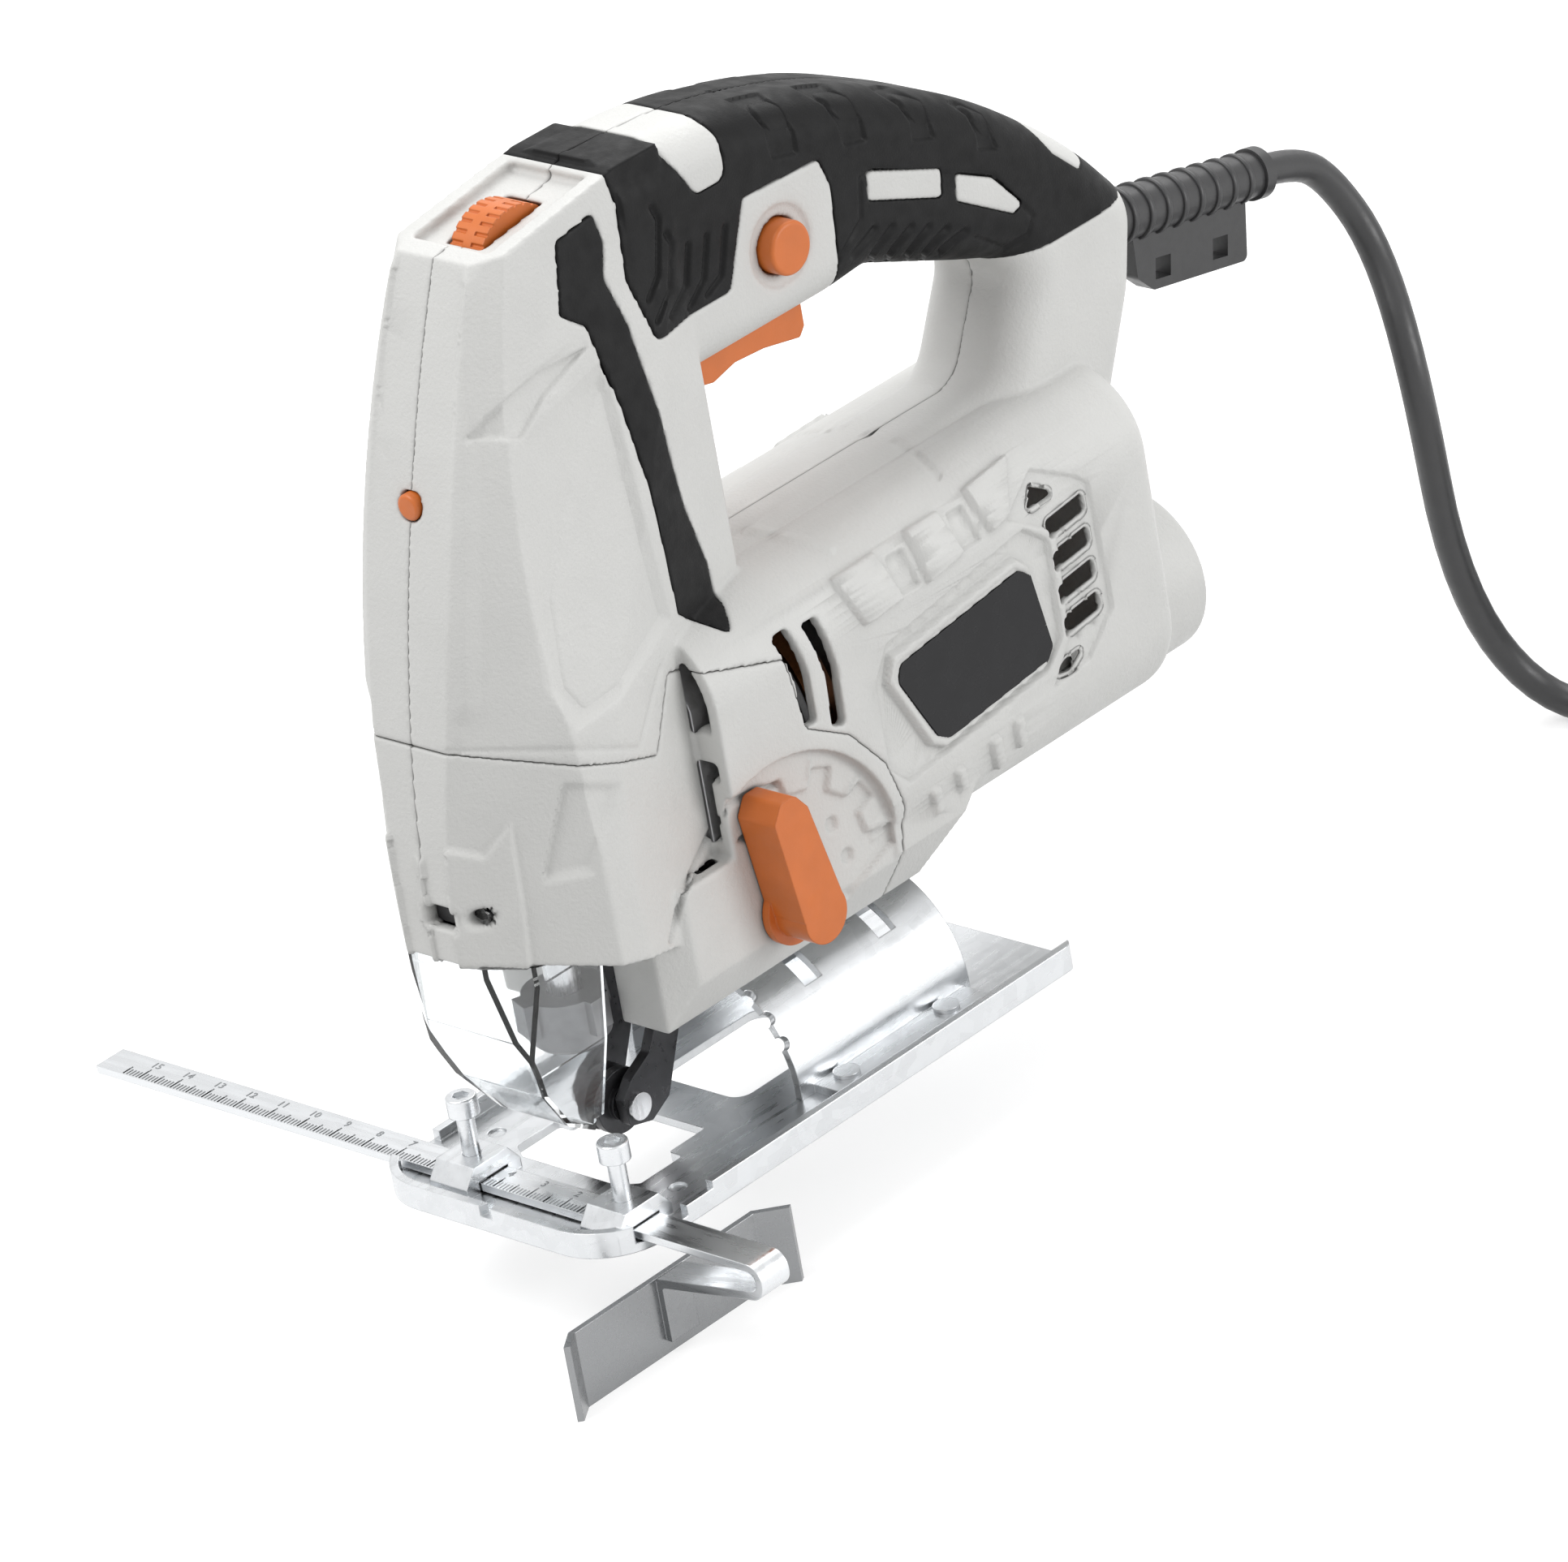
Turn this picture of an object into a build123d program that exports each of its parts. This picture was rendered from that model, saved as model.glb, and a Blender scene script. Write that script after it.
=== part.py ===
from build123d import *
from build123d.topology import SkipClean
import os
from math import cos, degrees, pi, radians, sin, sqrt, tan

# Jigsaw, millimetres. X is across the tool (+X is its left side), Y runs back from the nose and Z is up.
# Stations along Y are measured from the shoe's front edge and heights from the shoe's bottom face.
# The frame's origin is where the saw blade crosses the shoe's bottom face.

# ---- driving dimensions ------------------------------------------------------------------------
blade_line = 33.5          # station of the plunger and the blade
wall = 3.0                 # plastic wall of the housing
skin = 2.0                 # thickness of the soft overmoulding
fit = 0.05                 # radial running clearance of a shaft in its hole
gap = 0.3                  # clearance between pieces that move past each other
seat = 0.15                # clearance of a piece that sits in a pocket

motor_z = 80.0             # height of the motor's axis
barrel_half = 32.0         # motor barrel: half width, half height, corner radius, rear face, front face
barrel_tall = 40.0
barrel_round = 20.0
barrel_rear = 205.0
barrel_front = 62.0
handle_half = 16.5         # half width of the handle and its edge rounding
handle_round = 10.0
inner_round = 5.0          # edge rounding inside the handle's wall
port_outer = 20.0          # dust port
port_inner = 16.0
port_z = 55.0
port_rear = 226.5
foot_half = 30.0           # gear foot above the shoe
foot_bottom = 34.0
foot_front = 39.0
foot_rear = 120.0

gear_module = 1.0          # motor pinion and drive gear
pinion_teeth = 10
gear_teeth = 40
gear_front = 50.0
gear_width = 6.0
crank_throw = 9.0          # half of the blade's stroke

shoe_half = 38.0           # pressed steel shoe
shoe_length = 149.0
shoe_sheet = 2.0
shoe_flange = 6.0
arch_radius = 26.0         # outer radius of the bevel arch
arch_z = 4.0               # height of the bevel axis
arch_sheet = 2.0
arch_front = 72.0
arch_rear = 127.0

bar_width = 8.4            # parallel guide
bar_thick = 1.8
bar_y = 13.8
bar_z = 2.5
bar_tip = -130.8
bar_bend = 67.0
fence_x = 38.6
fence_front = -16.0
fence_back = 41.0
fence_top = -6.5
fence_bottom = -24.5

cord_radius = 3.7
coil_mid = 11 * cord_radius
coil_half = 3 * cord_radius
coil_outer = coil_mid + coil_half
coil_tall = 4 * cord_radius
coil_turn = coil_outer - cord_radius
plug_length = 38.0
plug_tall = 2 * (coil_tall - cord_radius)
plug_half = 17.5
pin_radius = 2.4
pin_length = 19.0
pin_spread = 19.0
cord_floor = fence_bottom  # the cord lies on the surface that the fence reaches
cord_straight = 12.0       # corners of its run: straight out, then down and to the left, clear of a hose
cord_fall = [(1.0, 304.2, 118.1), (6.0, 311.8, 98.8), (25.0, 297.9, 76.0), (15.0, 311.6, 13.3)]
cord_floor_run = [(22.0, 326.6), (50.0, 330.1), (76.0, 341.1)]

lever_y = 75.0             # orbital selector pivot
lever_z = 49.0
fork_y = 55.0              # pivot of the roller fork
fork_z = 40.0
roller_y = 41.0
roller_z = 12.2
wheel_y = 56.0             # speed thumbwheel
wheel_z = 203.7
wheel_radius = 12.0
lock_y = 118.5             # lock-on button
lock_z = 182.3
lock_radius = 6.0
lock_travel = 3.0
trigger_y = 91.0           # trigger pivot
trigger_z = 170.0

plunger_radius = 4.0
plunger_top = 160.0
clamp_bottom = 31.0
clamp_top = 43.0
clamp_radius = 9.0
clamp_lug = 10.6            # reach of the two finger lugs and the turn between them
clamp_lug_turn = 110.0
bush_radius = 6.0

shaft_radius = 4.0         # armature
core_front = 102.0
core_rear = 146.0
core_radius = 17.0
stator_radius = 27.5
bearing_y = 68.0
bearing_width = 8.0
bearing_radius = 11.0
tail_y = 190.0
tail_width = 7.0
tail_radius = 9.0
winding_radius = 14.5      # copper windings: how far they stand out of the armature and the field core
winding_front = 5.0
winding_rear = 6.0
coil_radius = 24.5
coil_front = 5.5
coil_rear = 8.0
core_gap = 0.6             # air gap between the armature and the field core
core_flat = 25.0           # half height of the field core between its flats
commutator_radius = 10.0
commutator_front = 158.0
commutator_rear = 172.0
commutator_bars = 12
brush_front = 161.5        # carbon brushes in their holders
brush_rear = 168.5
brush_half = 3.5
brush_outer = 22.0
holder_inner = 13.0
holder_sheet = 1.5
fan_radius = 26.0
fan_hub = 9.0
fan_front = 84.0
fan_disc_front = 92.5
fan_disc_rear = 94.5
fan_blades = 9
fan_blade_sheet = 1.6

vent_count = 4             # slanted air slots on each side, with a small three-cornered one above and below
vent_low = 70.0
vent_pitch = 7.9
vent_front = 168.0
vent_rear = 180.5
vent_tall = 4.6
vent_rise = 1.4
badge_skin = 1.4           # thickness of the name plate, which is bare
screw_radius = 1.8         # housing screws: shank, head, boss, tip and the height of the head's seat
screw_head = 3.5
screw_boss = 4.8
screw_tip = 12.0
screw_seat = 9.0
switch_half = 7.5          # switch module
switch_front = 100.0
switch_back = 128.0
switch_low = 178.0
switch_high = 198.0
dial_half = 8.0            # speed dial's board
dial_front = 49.0
dial_back = 63.0
dial_floor = 186.0
dial_sheet = 2.0
wheel_half = 4.6
wheel_axle = 2.0
wheel_groove = 0.45
wheel_grooves = 30
tray_y = 57.0              # sloping tray in the top of the head that the thumbwheel stands in
tray_z = 214.9
tray_slope = 8.13
tray_wide = 22.0
tray_long = 31.0
trigger_half = 8.5
trigger_pin = 2.0
trigger_pin_end = 11.0
button_radius = 3.0        # push button of the working light
button_z = 163.5
button_front = 16.4
button_guide = 26.0
selector_shaft = 5.0       # orbital selector: shaft, recess in the cover, floor of the recess, outer face
selector_recess = 34.0
selector_floor = 29.3
selector_face = 40.4
selector_hub = 6.4
selector_length = 30.0
light_left = -1.0          # working light under the nose
light_right = 8.0
light_front = 3.6
light_back = 12.0
light_low = 73.6
light_high = 78.8
light_lens = 2.4
light_lens_x = light_right + light_lens + 0.9
fork_pin_radius = 2.0
fork_pin_end = 13.0
fork_inner = 5.6           # half widths of the roller fork's arms
fork_outer = 8.2
roller_half = 4.8
roller_flange = 7.4
roller_groove = 4.2
relief_root_y = 226.0      # cord strain relief
relief_root_z = 138.5
relief_fall = 11.0
relief_length = 58.0
relief_thick = 6.4
relief_thin = 5.2
rivet_places = [83.0, 115.5]
rivet_x = 29.4
rivet_radius = 2.4
bar_bend_radius = 4.0
clamp_screw_y = [88.0, 112.0]
clamp_screw_radius = 2.5
clamp_screw_head = 4.2
clamp_head_tall = 4.6
clamp_plate_low = 22.0
bearer_half = 12.0         # core of the foot that the shoe is clamped to
bearer_top = 42.0
gear_case_half = 24.0
gear_case_neck = 17.5
gear_case_front = 62.0
gear_case_sheet = 5.0
gear_case_low = 61.0
gear_case_high = 146.0
gear_case_feet = [(66.0, gear_case_half), (92.0, gear_case_half), (127.0, gear_case_neck)]
gear_pin_radius = 4.0
yoke_front = 37.5
yoke_back = 41.0
yoke_half = 15.0
yoke_tall = 7.0
crank_pin_radius = 3.0
bush_height = 10.0
guard_sheet = 1.6
guard_half = 18.5
screw_thread = 2.0         # guide screws
screw_cap = 3.5
guide_screw_x = [-16.5, 28.5]
guide_screw_top = 22.4
guide_screw_cap = 4.4
bridge_half = 5.6
bridge_top = 8.4
bridge_front = 5.4
bridge_back = 22.2

screw_places = [(74.0, 176.0), (150.0, 185.0), (211.0, 150.0), (198.0, 108.0), (18.8, 139.0), (178.0, 49.0)]
cover_screw_places = [(14.0, 98.0), (96.0, 45.5)]

# The head's form: each line gives a distance at three heights, joined by an arc. The front face's
# station, the half width of the sides, and the half width less the station of the 45 degree corner faces.
head_low, head_knee, head_high = 30.0, 113.0, 224.0
front_arcs = [(2.6, 0.8, 4.6), (4.6, 17.2, 42.2)]
side_arcs = [(29.5, 31.0, 29.5), (29.5, 21.5, 14.3)]
corner_arcs = [(5.0, 7.2, 6.2), (6.2, -5.0, -33.0)]
middle_heights = (80.0, 163.0)
column_rear = 90.0
column_half = 16.5         # half width of the column at its rear, and how fast it widens forwards
column_taper = 0.25
handle_outline = [(76.0, 92.0), (76.0, 218.6), (110.0, 217.0), (148.0, 207.0), (186.0, 188.0),
                  (214.0, 166.0), (230.0, 147.0), (225.0, 127.0), (213.0, 103.0), (206.0, 92.0)]
handle_radii = [0.0, 0.0, 150.0, 150.0, 150.0, 120.0, 13.0, 30.0, 20.0, 0.0]
loop_outline = [(88.0, 121.5), (88.0, 163.5), (134.0, 163.5), (147.0, 164.5), (177.0, 152.5),
                (192.0, 147.0), (178.0, 121.5)]
loop_radii = [7.0, 5.0, 8.0, 12.0, 18.0, 7.0, 10.0]


# ---- plain shapes ------------------------------------------------------------------------------
def block(x0, x1, y0, y1, z0, z1):
    return Pos((x0 + x1) / 2, (y0 + y1) / 2, (z0 + z1) / 2) * Box(x1 - x0, y1 - y0, z1 - z0)


def rod(axis, radius, start, end, a, b):
    """Round bar along an axis; a and b are the other two coordinates of its centre line."""
    bar = Cylinder(radius, end - start)
    middle = (start + end) / 2
    if axis == "x":
        return Pos(middle, a, b) * Rot(0, 90, 0) * bar
    if axis == "y":
        return Pos(a, middle, b) * Rot(90, 0, 0) * bar
    return Pos(a, b, middle) * bar


def ring(axis, outer, inner, start, end, a, b):
    return rod(axis, outer, start, end, a, b) - rod(axis, inner, start - 1, end + 1, a, b)


def outline(points, radii=0.0):
    if radii == 0.0:
        return make_face(Polyline(*points, close=True))
    return make_face(FilletPolyline(*points, radius=radii, close=True))


def side_prism(points, x0, x1, radii=0.0):
    """Extrude an outline drawn in Y and Z from x0 to x1."""
    return Pos(x0, 0, 0) * extrude(Plane.YZ * outline(points, radii), amount=x1 - x0)


def front_prism(points, y0, y1, radii=0.0):
    """Extrude an outline drawn in X and Z from y0 to y1."""
    return Pos(0, y1, 0) * extrude(Plane.XZ * outline(points, radii), amount=y1 - y0)


def flat_prism(points, z0, z1, radii=0.0):
    """Extrude an outline drawn in X and Y from z0 to z1."""
    return Pos(0, 0, z0) * extrude(outline(points, radii), amount=z1 - z0)


def both_sides(shape):
    return shape + mirror(shape, about=Plane.YZ)


def half_space(side):
    """Everything on one side of the middle plane: side is 1 for the left and -1 for the right."""
    return block(0, 300, -100, 500, -100, 400) if side > 0 else block(-300, 0, -100, 500, -100, 400)


# ---- outer form of the housing, also used with an inset for the walls and the overmoulding -------
def arc_profile(arcs, shift, flip):
    """Region behind a two-arc line that runs up the head: the line's distances are shifted first."""
    (a0, a1, a2), (b0, b1, b2) = arcs
    low = ThreePointArc((a0 + shift, head_low), (a1 + shift, middle_heights[0]), (a2 + shift, head_knee))
    high = ThreePointArc((b0 + shift, head_knee), (b1 + shift, middle_heights[1]), (b2 + shift, head_high))
    far = 150 * flip
    back = Polyline((b2 + shift, head_high), (far, head_high), (far, head_low), (a0 + shift, head_low))
    return make_face(low + high + back)


def head(inset):
    front = Pos(-60, 0, 0) * extrude(Plane.YZ * arc_profile(front_arcs, inset, 1), amount=120)
    side = Pos(0, 150, 0) * extrude(Plane.XZ * arc_profile(side_arcs, -inset, -1), amount=200)
    across = Plane(origin=(0, 0, 0), x_dir=(1, -1, 0), z_dir=(-1, -1, 0))
    corner_face = arc_profile([tuple(v / sqrt(2) for v in row) for row in corner_arcs], -inset, -1)
    corner = extrude(across * corner_face, amount=200, both=True)
    taper = column_rear * column_taper + column_half - inset
    back = column_rear - inset
    rear = [(0, -60), (taper + 60 * column_taper, -60), (taper - back * column_taper, back), (0, back)]
    body = front & side & mirror(side, about=Plane.YZ) & corner & mirror(corner, about=Plane.YZ)
    body &= both_sides(flat_prism(rear, 0, 300))
    rim = [(-20, 260), (-20, 203.9 - inset), (77, 217.7 - inset), (120, 217.7 - inset), (120, 260)]
    under = [(-20, 0), (-20, 71.5 + inset), (foot_front + wall, 54.5 + inset), (61, 49.2 + inset), (61, 0)]
    base = [(55, 0), (55, foot_bottom + 3 + inset), (120, foot_bottom + 3 + inset), (120, 0)]
    return body - side_prism(rim, -60, 60) - side_prism(under, -60, 60) - side_prism(base, -60, 60)


def handle(inset):
    frame_face = outline(handle_outline, handle_radii) - outline(loop_outline, loop_radii)
    if inset:
        frame_face = offset(frame_face, amount=-inset, kind=Kind.INTERSECTION)
    half = handle_half - inset
    body = Pos(-half, 0, 0) * extrude(Plane.YZ * frame_face, amount=2 * half)
    hidden_front = handle_outline[0][0] + inset + 0.5
    hidden_base = handle_outline[0][1] + inset + 0.5
    edges = [e for e in body.edges() if abs(abs(e.center().X) - half) < 0.01
             and e.center().Y > hidden_front and e.center().Z > hidden_base]
    return fillet(edges, inner_round if inset else handle_round)


def barrel(inset):
    half = barrel_half - inset
    tall = barrel_tall - inset
    face = RectangleRounded(2 * half, 2 * tall, barrel_round - inset)
    along = barrel_rear - inset - barrel_front
    body = Pos(0, barrel_rear - inset, motor_z) * extrude(Plane.XZ * face, amount=along)
    rear_edges = [e for e in body.edges() if abs(e.center().Y - (barrel_rear - inset)) < 0.01]
    return fillet(rear_edges, 7.0 - inset)


def port():
    body = rod("y", port_outer, 180, port_rear, 0, port_z)
    return fillet(body.edges().sort_by(Axis.Y)[-1], 1.5)


def foot(inset):
    side = [(foot_front + inset, 66), (foot_front + inset, foot_bottom + inset),
            (foot_rear, foot_bottom + inset), (137 - inset, 51), (137 - inset, 66)]
    front = [(-foot_half, 66), (-foot_half, 45), (-24 + inset, foot_bottom), (24 - inset, foot_bottom),
             (foot_half, 45), (foot_half, 66)]
    half = foot_half - inset
    plan = [(-24, foot_front), (24, foot_front), (half, foot_front + 8), (half, 140), (-half, 140),
            (-half, foot_front + 8)]
    return (side_prism(side, -foot_half, foot_half) & front_prism(front, 30, 150)
            & flat_prism(plan, foot_bottom - 1, 70))


def envelope(inset):
    solid = head(inset) + handle(inset) + barrel(inset) + foot(inset)
    return solid if inset else solid + port()



# ---- zones of the housing's surface, as side views ------------------------------------------------
cover_zone = [(-40.0, 131.8), (48.0, 97.0), (57.0, 111.5), (84.0, 103.7), (87.0, 86.0), (99.0, 79.0),
              (108.0, 68.0), (112.0, 55.0), (110.0, 42.0), (104.0, 20.0), (-40.0, 20.0)]
grip_zone = [(70.0, 240.0), (75.0, 210.0), (72.5, 194.0), (76.5, 179.0), (102.0, 179.0), (110.0, 197.0),
             (133.5, 196.0), (136.0, 189.0), (134.5, 172.0), (134.5, 150.0), (178.0, 149.0), (240.0, 149.0),
             (240.0, 240.0)]
strip_zone = [(52.5, 194.5), (56.5, 209.5), (68.0, 211.0), (69.0, 204.0), (66.5, 197.0), (69.5, 186.0),
              (71.5, 164.0), (74.0, 143.0), (79.0, 126.0), (79.5, 118.0), (75.0, 113.0), (65.0, 121.5),
              (64.0, 140.0), (62.0, 170.0), (58.5, 190.0)]
# light windows in the grip, where the hard plastic comes through
grip_windows = [
    ([(86.0, 230.0), (92.0, 212.0), (97.0, 203.0), (106.0, 203.0), (107.0, 212.0), (101.0, 230.0)], 3.0),
    ([(147.0, 187.5), (169.0, 179.0), (168.0, 172.5), (146.0, 181.0)], 1.0),
    ([(173.0, 176.0), (184.0, 170.5), (192.0, 161.0), (188.5, 160.0), (172.0, 170.0)], 1.0),
    ([(197.0, 185.0), (205.0, 167.0), (212.0, 160.5), (216.0, 161.0), (216.0, 180.0)], 1.0),
]
badge_outline = [(117.0, 87.2), (157.5, 91.8), (160.0, 89.5), (163.4, 70.5), (161.0, 67.6), (128.0, 64.2),
                 (125.0, 66.0), (115.8, 83.5)]


def placed(shape):
    return Pos(0, -blade_line, 0) * shape


nodes = {}


def add(name, shape):
    nodes[name] = shape


# ---- shells --------------------------------------------------------------------------------------
def screws(places):
    group = Part()
    for y, z in places:
        group += rod("x", screw_radius, -screw_seat, screw_tip, y, z)
        group += rod("x", screw_head, -screw_seat - 2.6, -screw_seat, y, z)
    return group


def screw_bosses(places, form):
    bosses = Part()
    for y, z in places:
        bosses += rod("x", screw_boss, -60, 60, y, z)
    return bosses & form


def screw_holes(places):
    holes = Part()
    for y, z in places:
        holes += rod("x", screw_radius, -screw_seat, screw_tip, y, z)
        holes += rod("x", screw_head + seat, -60, -screw_seat, y, z)
    return holes


def fork_slot(grow):
    """Open pocket under the nose for the roller fork and the blade clamp."""
    slot = block(-10.5 - grow, 10.5 + grow, 20, 62 + grow, 0, 52 + grow)
    return slot + rod("z", 11.5 + grow, 20, 57 + grow, 0, blade_line)


def vents():
    """Air slots: two upright ones by the fan and seven slanted ones at the rear, through both sides."""
    cut = side_prism([(83.0, 108.5), (88.0, 109.0), (90.5, 97.0), (90.5, 86.0), (86.5, 86.5), (86.0, 97.0)],
                     24, 60, 0.8)
    cut += side_prism([(92.0, 108.0), (96.5, 108.0), (99.0, 95.0), (98.5, 81.5), (94.5, 83.0), (95.0, 95.0)],
                      24, 60, 0.8)
    for i in range(vent_count):
        low = vent_low + i * vent_pitch
        high = low + vent_tall
        cut += side_prism([(vent_front, low), (vent_rear, low + vent_rise), (vent_rear, high + vent_rise),
                           (vent_front, high)], 24, 60, 0.6)
    low, high = vent_low - 4.0, vent_low + vent_count * vent_pitch + 1.0
    cut += side_prism([(vent_front - 5, low - 3.2), (vent_rear - 12, low - 4.2), (vent_rear - 6, low - 0.2),
                       (vent_front - 1, low - 0.8)], 24, 60, 0.6)
    cut += side_prism([(vent_front - 5, high), (vent_rear - 7.5, high + 0.6), (vent_front - 1.5, high + 4.4)],
                      24, 60, 0.6)
    return both_sides(cut)


def bulkheads(inner):
    """Ribs inside the shells that carry the field core, the tail bearing, the switch and the dial."""
    plate = block(-50, 50, core_front + 4, core_front + 7, 30, 130)
    plate += block(-50, 50, core_rear - 7, core_rear - 4, 30, 130)
    plate -= rod("y", stator_radius + seat, 90, 160, 0, motor_z)
    tail = block(-50, 50, tail_y - 1, tail_y + tail_width + 1, 30, 130)
    tail -= rod("y", tail_radius, tail_y, tail_y + tail_width, 0, motor_z)
    tail -= rod("y", tail_radius - 2, tail_y - 10, tail_y + 30, 0, motor_z)
    tail -= rod("y", port_inner - 2, tail_y - 10, tail_y + 30, 0, port_z - 6) & block(-50, 50, 0, 300, 0, 66)
    ribs = block(-50, 50, 103, 106, 177, 198) + block(-50, 50, 126, 128, 177, 198)
    ribs -= block(-switch_half - seat, switch_half + seat, 90, 140, 100, 230)
    dial = block(-50, 50, 53, 59, dial_floor, dial_floor + 3)
    dial -= block(-dial_half - seat, dial_half + seat, 40, 80, 150, 230)
    hinge = block(-50, 50, trigger_y - 4, trigger_y + 4, trigger_z - 4, trigger_z + 4)
    hinge -= block(-trigger_half - gap, trigger_half + gap, 70, 140, 150, 230)
    pin_end = trigger_pin_end + seat
    hinge -= rod("x", trigger_pin + fit, -pin_end, pin_end, trigger_y, trigger_z)
    gear_seats = Part()
    for z, half in gear_case_feet:
        gear_seats += rod("x", 4.0, half + seat, 60, gear_case_front + gear_case_sheet / 2, z)
    guide = rod("y", button_radius + 2.0, 20, button_guide, 0, button_z)
    guide -= rod("y", button_radius + gap, 0, 60, 0, button_z)
    plinth = rod("x", selector_recess + wall, selector_floor - wall, 60, lever_y, lever_z)
    shelf = tray_place() * Pos(0, 0, -4) * Box(tray_wide + 4, tray_long + 4, 4)
    return (plate + tail + ribs + dial + hinge + both_sides(gear_seats) + guide + plinth + shelf) & inner


def tray_place():
    return Pos(0, tray_y, tray_z) * Rot(tray_slope, 0, 0)


def tray():
    """Sloping recess in the top of the head, with the slot for the thumbwheel in its floor."""
    slot = wheel_half + 0.7
    return (tray_place() * Box(tray_wide, tray_long, 5)
            + rod("x", wheel_radius + 2 * gap, -slot, slot, wheel_y, wheel_z))


def openings():
    """What is cut out of the shells from outside."""
    cut = fork_slot(0) + vents() + tray()
    cut += rod("y", port_inner, barrel_rear - wall - 1, 260, 0, port_z)
    cut += rod("x", lock_radius + gap, 0, 60, lock_y, lock_z)
    cut += rod("x", lock_radius + 3.2, handle_half - 0.9, 60, lock_y, lock_z)
    cut += block(-trigger_half - gap, trigger_half + gap, 86.3, 130.2, 150, 168)
    cut += rod("y", button_radius + gap, 0, 40, 0, button_z)
    cut += rod("x", selector_shaft + fit, 10, 60, lever_y, lever_z)
    cut += rod("x", selector_recess, selector_floor, 60, lever_y, lever_z)
    cut += block(light_left - seat, light_right + seat, -10, light_back + seat, light_low - seat,
                 light_high)
    cut += rod("y", light_lens + seat, -10, light_back + seat, light_lens_x, light_high - light_lens)
    cut += relief_socket(seat)
    cut += rod("x", fork_pin_radius, -fork_pin_end, fork_pin_end, fork_y, fork_z)
    cut += rod("z", bush_radius, 50, 72, 0, blade_line)
    cut += clamp_screw_holes()
    return cut


def relief_socket(grow):
    """Pocket in the rear of the handle that holds the flange of the cord's strain relief."""
    return relief_flange(grow) + (relief_axis() * Cylinder(6.6 + grow, 24))


def relief_axis():
    return Pos(0, relief_root_y, relief_root_z) * Rot(-90 - relief_fall, 0, 0)


def relief_flange(grow):
    return relief_axis() * Pos(0, 0, -9) * Cylinder(9.0 + grow, 3.0 + 2 * grow)


def clamp_screw_holes():
    holes = Part()
    for y in clamp_screw_y:
        holes += rod("z", clamp_screw_radius, 20, bearer_top, 0, y)
    return holes


def foot_bearer():
    """Solid core of the foot, hollowed to the arch's radius, that the shoe is clamped against."""
    core = block(-bearer_half, bearer_half, arch_front + 5, arch_rear - 8, 20, bearer_top)
    return core - rod("y", arch_radius + gap, 60, 140, 0, arch_z)


def shells():
    """Both housing shells, the gear covers, the soft grip and strip, and the name plates, still whole."""
    outer = envelope(0)
    under = envelope(skin)
    inner = envelope(wall)
    core = block(-bearer_half, bearer_half, arch_front + 5, arch_rear - 8, foot_bottom, bearer_top)
    hollow = inner - fork_slot(wall) - core
    ribs = bulkheads(hollow) + (screw_bosses(screw_places + cover_screw_places, hollow))
    ribs -= rod("y", stator_radius + seat, core_front, core_rear, 0, motor_z)
    keep = openings() + screw_holes(screw_places + cover_screw_places)
    windows = Part()
    for points, radius in grip_windows:
        windows += side_prism(points, -60, 60, radius)
    rubber = outer - under
    grip = rubber & (side_prism(grip_zone, -60, 60, 1.5) - windows)
    grip -= rod("x", lock_radius + 4.5, 0, 60, lock_y, lock_z)
    strip = rubber & side_prism(strip_zone, -60, 60, 1.2)
    badge = both_sides(side_prism(badge_outline, barrel_half - badge_skin, barrel_half, 2.0))
    solid = (outer - hollow) + ribs
    solid = solid - keep - grip - strip - badge
    solid += foot_bearer() - clamp_screw_holes()
    zone = side_prism(cover_zone, -60, 60)
    return solid - zone, solid & zone, grip - keep, strip, badge


# ---- motor -----------------------------------------------------------------------------------------
def tooth_ring(teeth, width):
    """Spur gear with straight-flanked teeth, thin enough to leave backlash, one of them on local +X."""
    pitch = gear_module * teeth / 2
    root = pitch - 1.2 * gear_module
    tip = pitch + 0.85 * gear_module
    low = 0.95 * gear_module
    high = 0.42 * gear_module
    points = []
    for i in range(teeth):
        turn = 2 * pi * i / teeth
        for out, side in ((root, -low), (tip, -high), (tip, high), (root, low)):
            points.append((out * cos(turn) - side * sin(turn), out * sin(turn) + side * cos(turn)))
    return extrude(make_face(Polyline(*points, close=True)), amount=width)


def armature_shaft():
    pinion_back = gear_front + gear_width + 1
    pinion = Pos(0, pinion_back, motor_z) * Rot(90, 0, 0) * tooth_ring(pinion_teeth, gear_width + 2)
    shaft = rod("y", shaft_radius, pinion_back, tail_y + tail_width + 1, 0, motor_z)
    return pinion + shaft


def armature_core():
    return ring("y", core_radius, shaft_radius, core_front, core_rear, 0, motor_z)


def armature_windings():
    front = ring("y", winding_radius, shaft_radius, core_front - winding_front, core_front, 0, motor_z)
    rear = ring("y", winding_radius, shaft_radius, core_rear, core_rear + winding_rear, 0, motor_z)
    return front + rear


def commutator():
    body = ring("y", commutator_radius, shaft_radius, commutator_front, commutator_rear, 0, motor_z)
    slit = block(-0.4, 0.4, commutator_front + 2, commutator_rear + 1, commutator_radius - 0.8,
                 commutator_radius + 1)
    for i in range(commutator_bars):
        body -= Pos(0, 0, motor_z) * Rot(0, 360 * i / commutator_bars, 0) * slit
    return body


def fan():
    body = ring("y", fan_radius, shaft_radius, fan_disc_front, fan_disc_rear, 0, motor_z)
    body += ring("y", fan_hub, shaft_radius, fan_front, fan_disc_front, 0, motor_z)
    blade = block(-fan_blade_sheet / 2, fan_blade_sheet / 2, fan_front + 1, fan_disc_front + 0.5, fan_hub - 1,
                  fan_radius - 1)
    for i in range(fan_blades):
        body += Pos(0, 0, motor_z) * Rot(0, 360 * i / fan_blades, 0) * blade
    return body


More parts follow.
